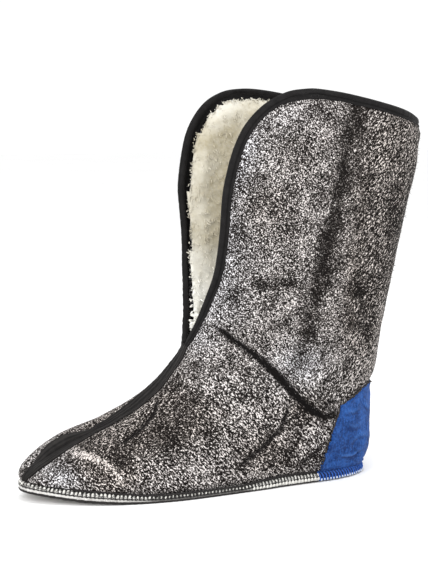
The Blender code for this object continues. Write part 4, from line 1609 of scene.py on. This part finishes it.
def build_footbed(material):
    """Pile footbed that covers the sole inside."""
    turns = np.linspace(FOOTBED_FIRST, FOOTBED_LAST, 121)
    outer = np.array([foot_edge(turn, OUTER, INSOLE_INSET) for turn in turns])
    inner = np.array([foot_edge(turn, INNER, INSOLE_INSET) for turn in turns])
    across = np.linspace(0, 1, 61)
    plan = outer[:, None] + (inner - outer)[:, None] * across[None, :, None]
    from_side = np.minimum(across, 1 - across)[None, :] * 8
    from_end = np.minimum(turns - FOOTBED_FIRST, FOOTBED_LAST - turns)[:, None] / 8
    full = np.clip(np.minimum(from_side, from_end), FOOTBED_RIM, 1) ** 0.5
    points = np.concatenate([plan, np.zeros(plan.shape[:2] + (1,))], axis=-1)
    lumps = ripples(points, FOOTBED_LUMPS)
    points[..., 2] = INSOLE_LOW + toe_spring(plan[..., 0]) + (INSOLE_THICK + lumps) * full
    mesh = bmesh.new()
    depth = mesh.verts.layers.float.new("depth")
    for corner, place in add_grid(mesh, world(points)).items():
        # Low in the footbed's hollows, where the wool is painted a little darker: painted shade
        corner[depth] = np.clip(0.5 + 0.5 * lumps[place], 0, 1)
    grown = bmesh.ops.extrude_face_region(mesh, geom=list(mesh.faces))["geom"]
    low = [corner for corner in grown if isinstance(corner, bmesh.types.BMVert)]
    for corner in low:
        corner.co.z = (INSOLE_LOW + toe_spring(corner.co.x / MM - SHIFT[0])) * MM
    bmesh.ops.recalc_face_normals(mesh, faces=mesh.faces)
    make_piece("pile_footbed", mesh, material, ("insole",))


def dress_sole(material):
    """Felt finish on the sole's own solid."""
    sole = frame["nodes"]["sole"]
    sole.data.materials.clear()
    sole.data.materials.append(material)


def add_light(name, place, size, power):
    """Soft box light aimed at the liner."""
    data = bpy.data.lights.new(name, "AREA")
    data.shape = "RECTANGLE"
    data.size = data.size_y = size
    data.energy = power
    light = bpy.data.objects.new(name, data)
    light.location = place
    light.rotation_euler = (Vector(LIGHT_TARGET) - Vector(place)).to_track_quat("-Z", "Y").to_euler()
    bpy.context.scene.collection.objects.link(light)


def build_studio():
    """Pale floor, bright surroundings, soft lights and the camera."""
    mesh = bmesh.new()
    bmesh.ops.create_grid(mesh, x_segments=1, y_segments=1, size=FLOOR_SIZE)
    data = bpy.data.meshes.new("floor")
    mesh.to_mesh(data)
    mesh.free()
    data.materials.append(pale_floor())
    floor = bpy.data.objects.new("floor", data)
    bpy.context.scene.collection.objects.link(floor)

    bpy.context.scene.view_settings.view_transform = "Standard"
    surround = bpy.data.worlds.new("studio")
    surround.use_nodes = True
    background = surround.node_tree.nodes["Background"]
    background.inputs["Color"].default_value = (1.0, 1.0, 1.0, 1.0)
    background.inputs["Strength"].default_value = SURROUND_STRENGTH
    bpy.context.scene.world = surround

    for light in LIGHTS:
        add_light(*light)

    azimuth, elevation = np.radians(CAMERA_AZIMUTH), np.radians(CAMERA_ELEVATION)
    back = np.array([
        np.sin(azimuth) * np.cos(elevation), -np.cos(azimuth) * np.cos(elevation), np.sin(elevation),
    ])
    target = world(CAMERA_TARGET)
    lens = bpy.data.cameras.new("camera")
    lens.sensor_fit = "VERTICAL"
    lens.sensor_height = SENSOR_HEIGHT
    lens.lens = FOCAL_PIXELS / IMAGE_HEIGHT * SENSOR_HEIGHT
    lens.clip_start = CLIP_START
    camera = bpy.data.objects.new("camera", lens)
    camera.location = target + back * CAMERA_DISTANCE * MM
    camera.rotation_euler = Vector(-back).to_track_quat("-Z", "Y").to_euler()
    bpy.context.scene.collection.objects.link(camera)
    bpy.context.scene.camera = camera


def build_liner():
    """All pieces of the liner with their finishes."""
    felt = metallised_felt()
    build_upper(felt)
    build_tape(black_tape())
    build_binding(black_binding())
    build_counter(blue_weave())
    # Near-black thread for the raw edge and the shadow line along it: partly painted shade
    build_counter_lip(spun_thread("raw_edge_and_shadow", (0.004, 0.003, 0.003), (0.06, 0.05, 0.04)))
    # Its last colour is the painted shade under the overhanging upper
    felt_edge = pressed_felt("overlock_felt", (0.32, 0.31, 0.295), (0.64, 0.63, 0.61), (0.03, 0.027, 0.025))
    build_seam_edge("sole_edge", COUNTER_TURN, 0, felt_edge, "sole_seam")
    black_thread = spun_thread("black_thread", (0.008, 0.007, 0.007), (0.03, 0.028, 0.027))
    build_sole_stitches(black_thread, spun_thread("pale_thread", (0.42, 0.41, 0.38), (0.86, 0.85, 0.81)))
    blue_edge = pressed_felt("blue_edge_cloth", (0.001, 0.006, 0.035), (0.003, 0.016, 0.085))
    build_seam_edge("heel_edge", HEEL_EDGE_TURN, 180, blue_edge, "heel_seam")
    blue_thread = spun_thread("blue_thread", (0.010, 0.045, 0.22), (0.04, 0.13, 0.46))
    build_heel_stitches(blue_thread, spun_thread("pale_blue_thread", (0.34, 0.42, 0.58), (0.72, 0.77, 0.85)))
    faces = pile_surface()
    build_lining(wool_pile("wool_pile"), faces)
    build_tufts(wool_pile("wool_locks", tip=True), faces)
    build_footbed(wool_pile("wool_footbed"))
    build_fibres(spun_thread("felt_fibre", (0.012, 0.010, 0.009), (0.16, 0.15, 0.14)))
    dress_sole(pressed_felt("sole_felt", (0.20, 0.19, 0.18), (0.66, 0.64, 0.61)))


build_studio()
build_liner()
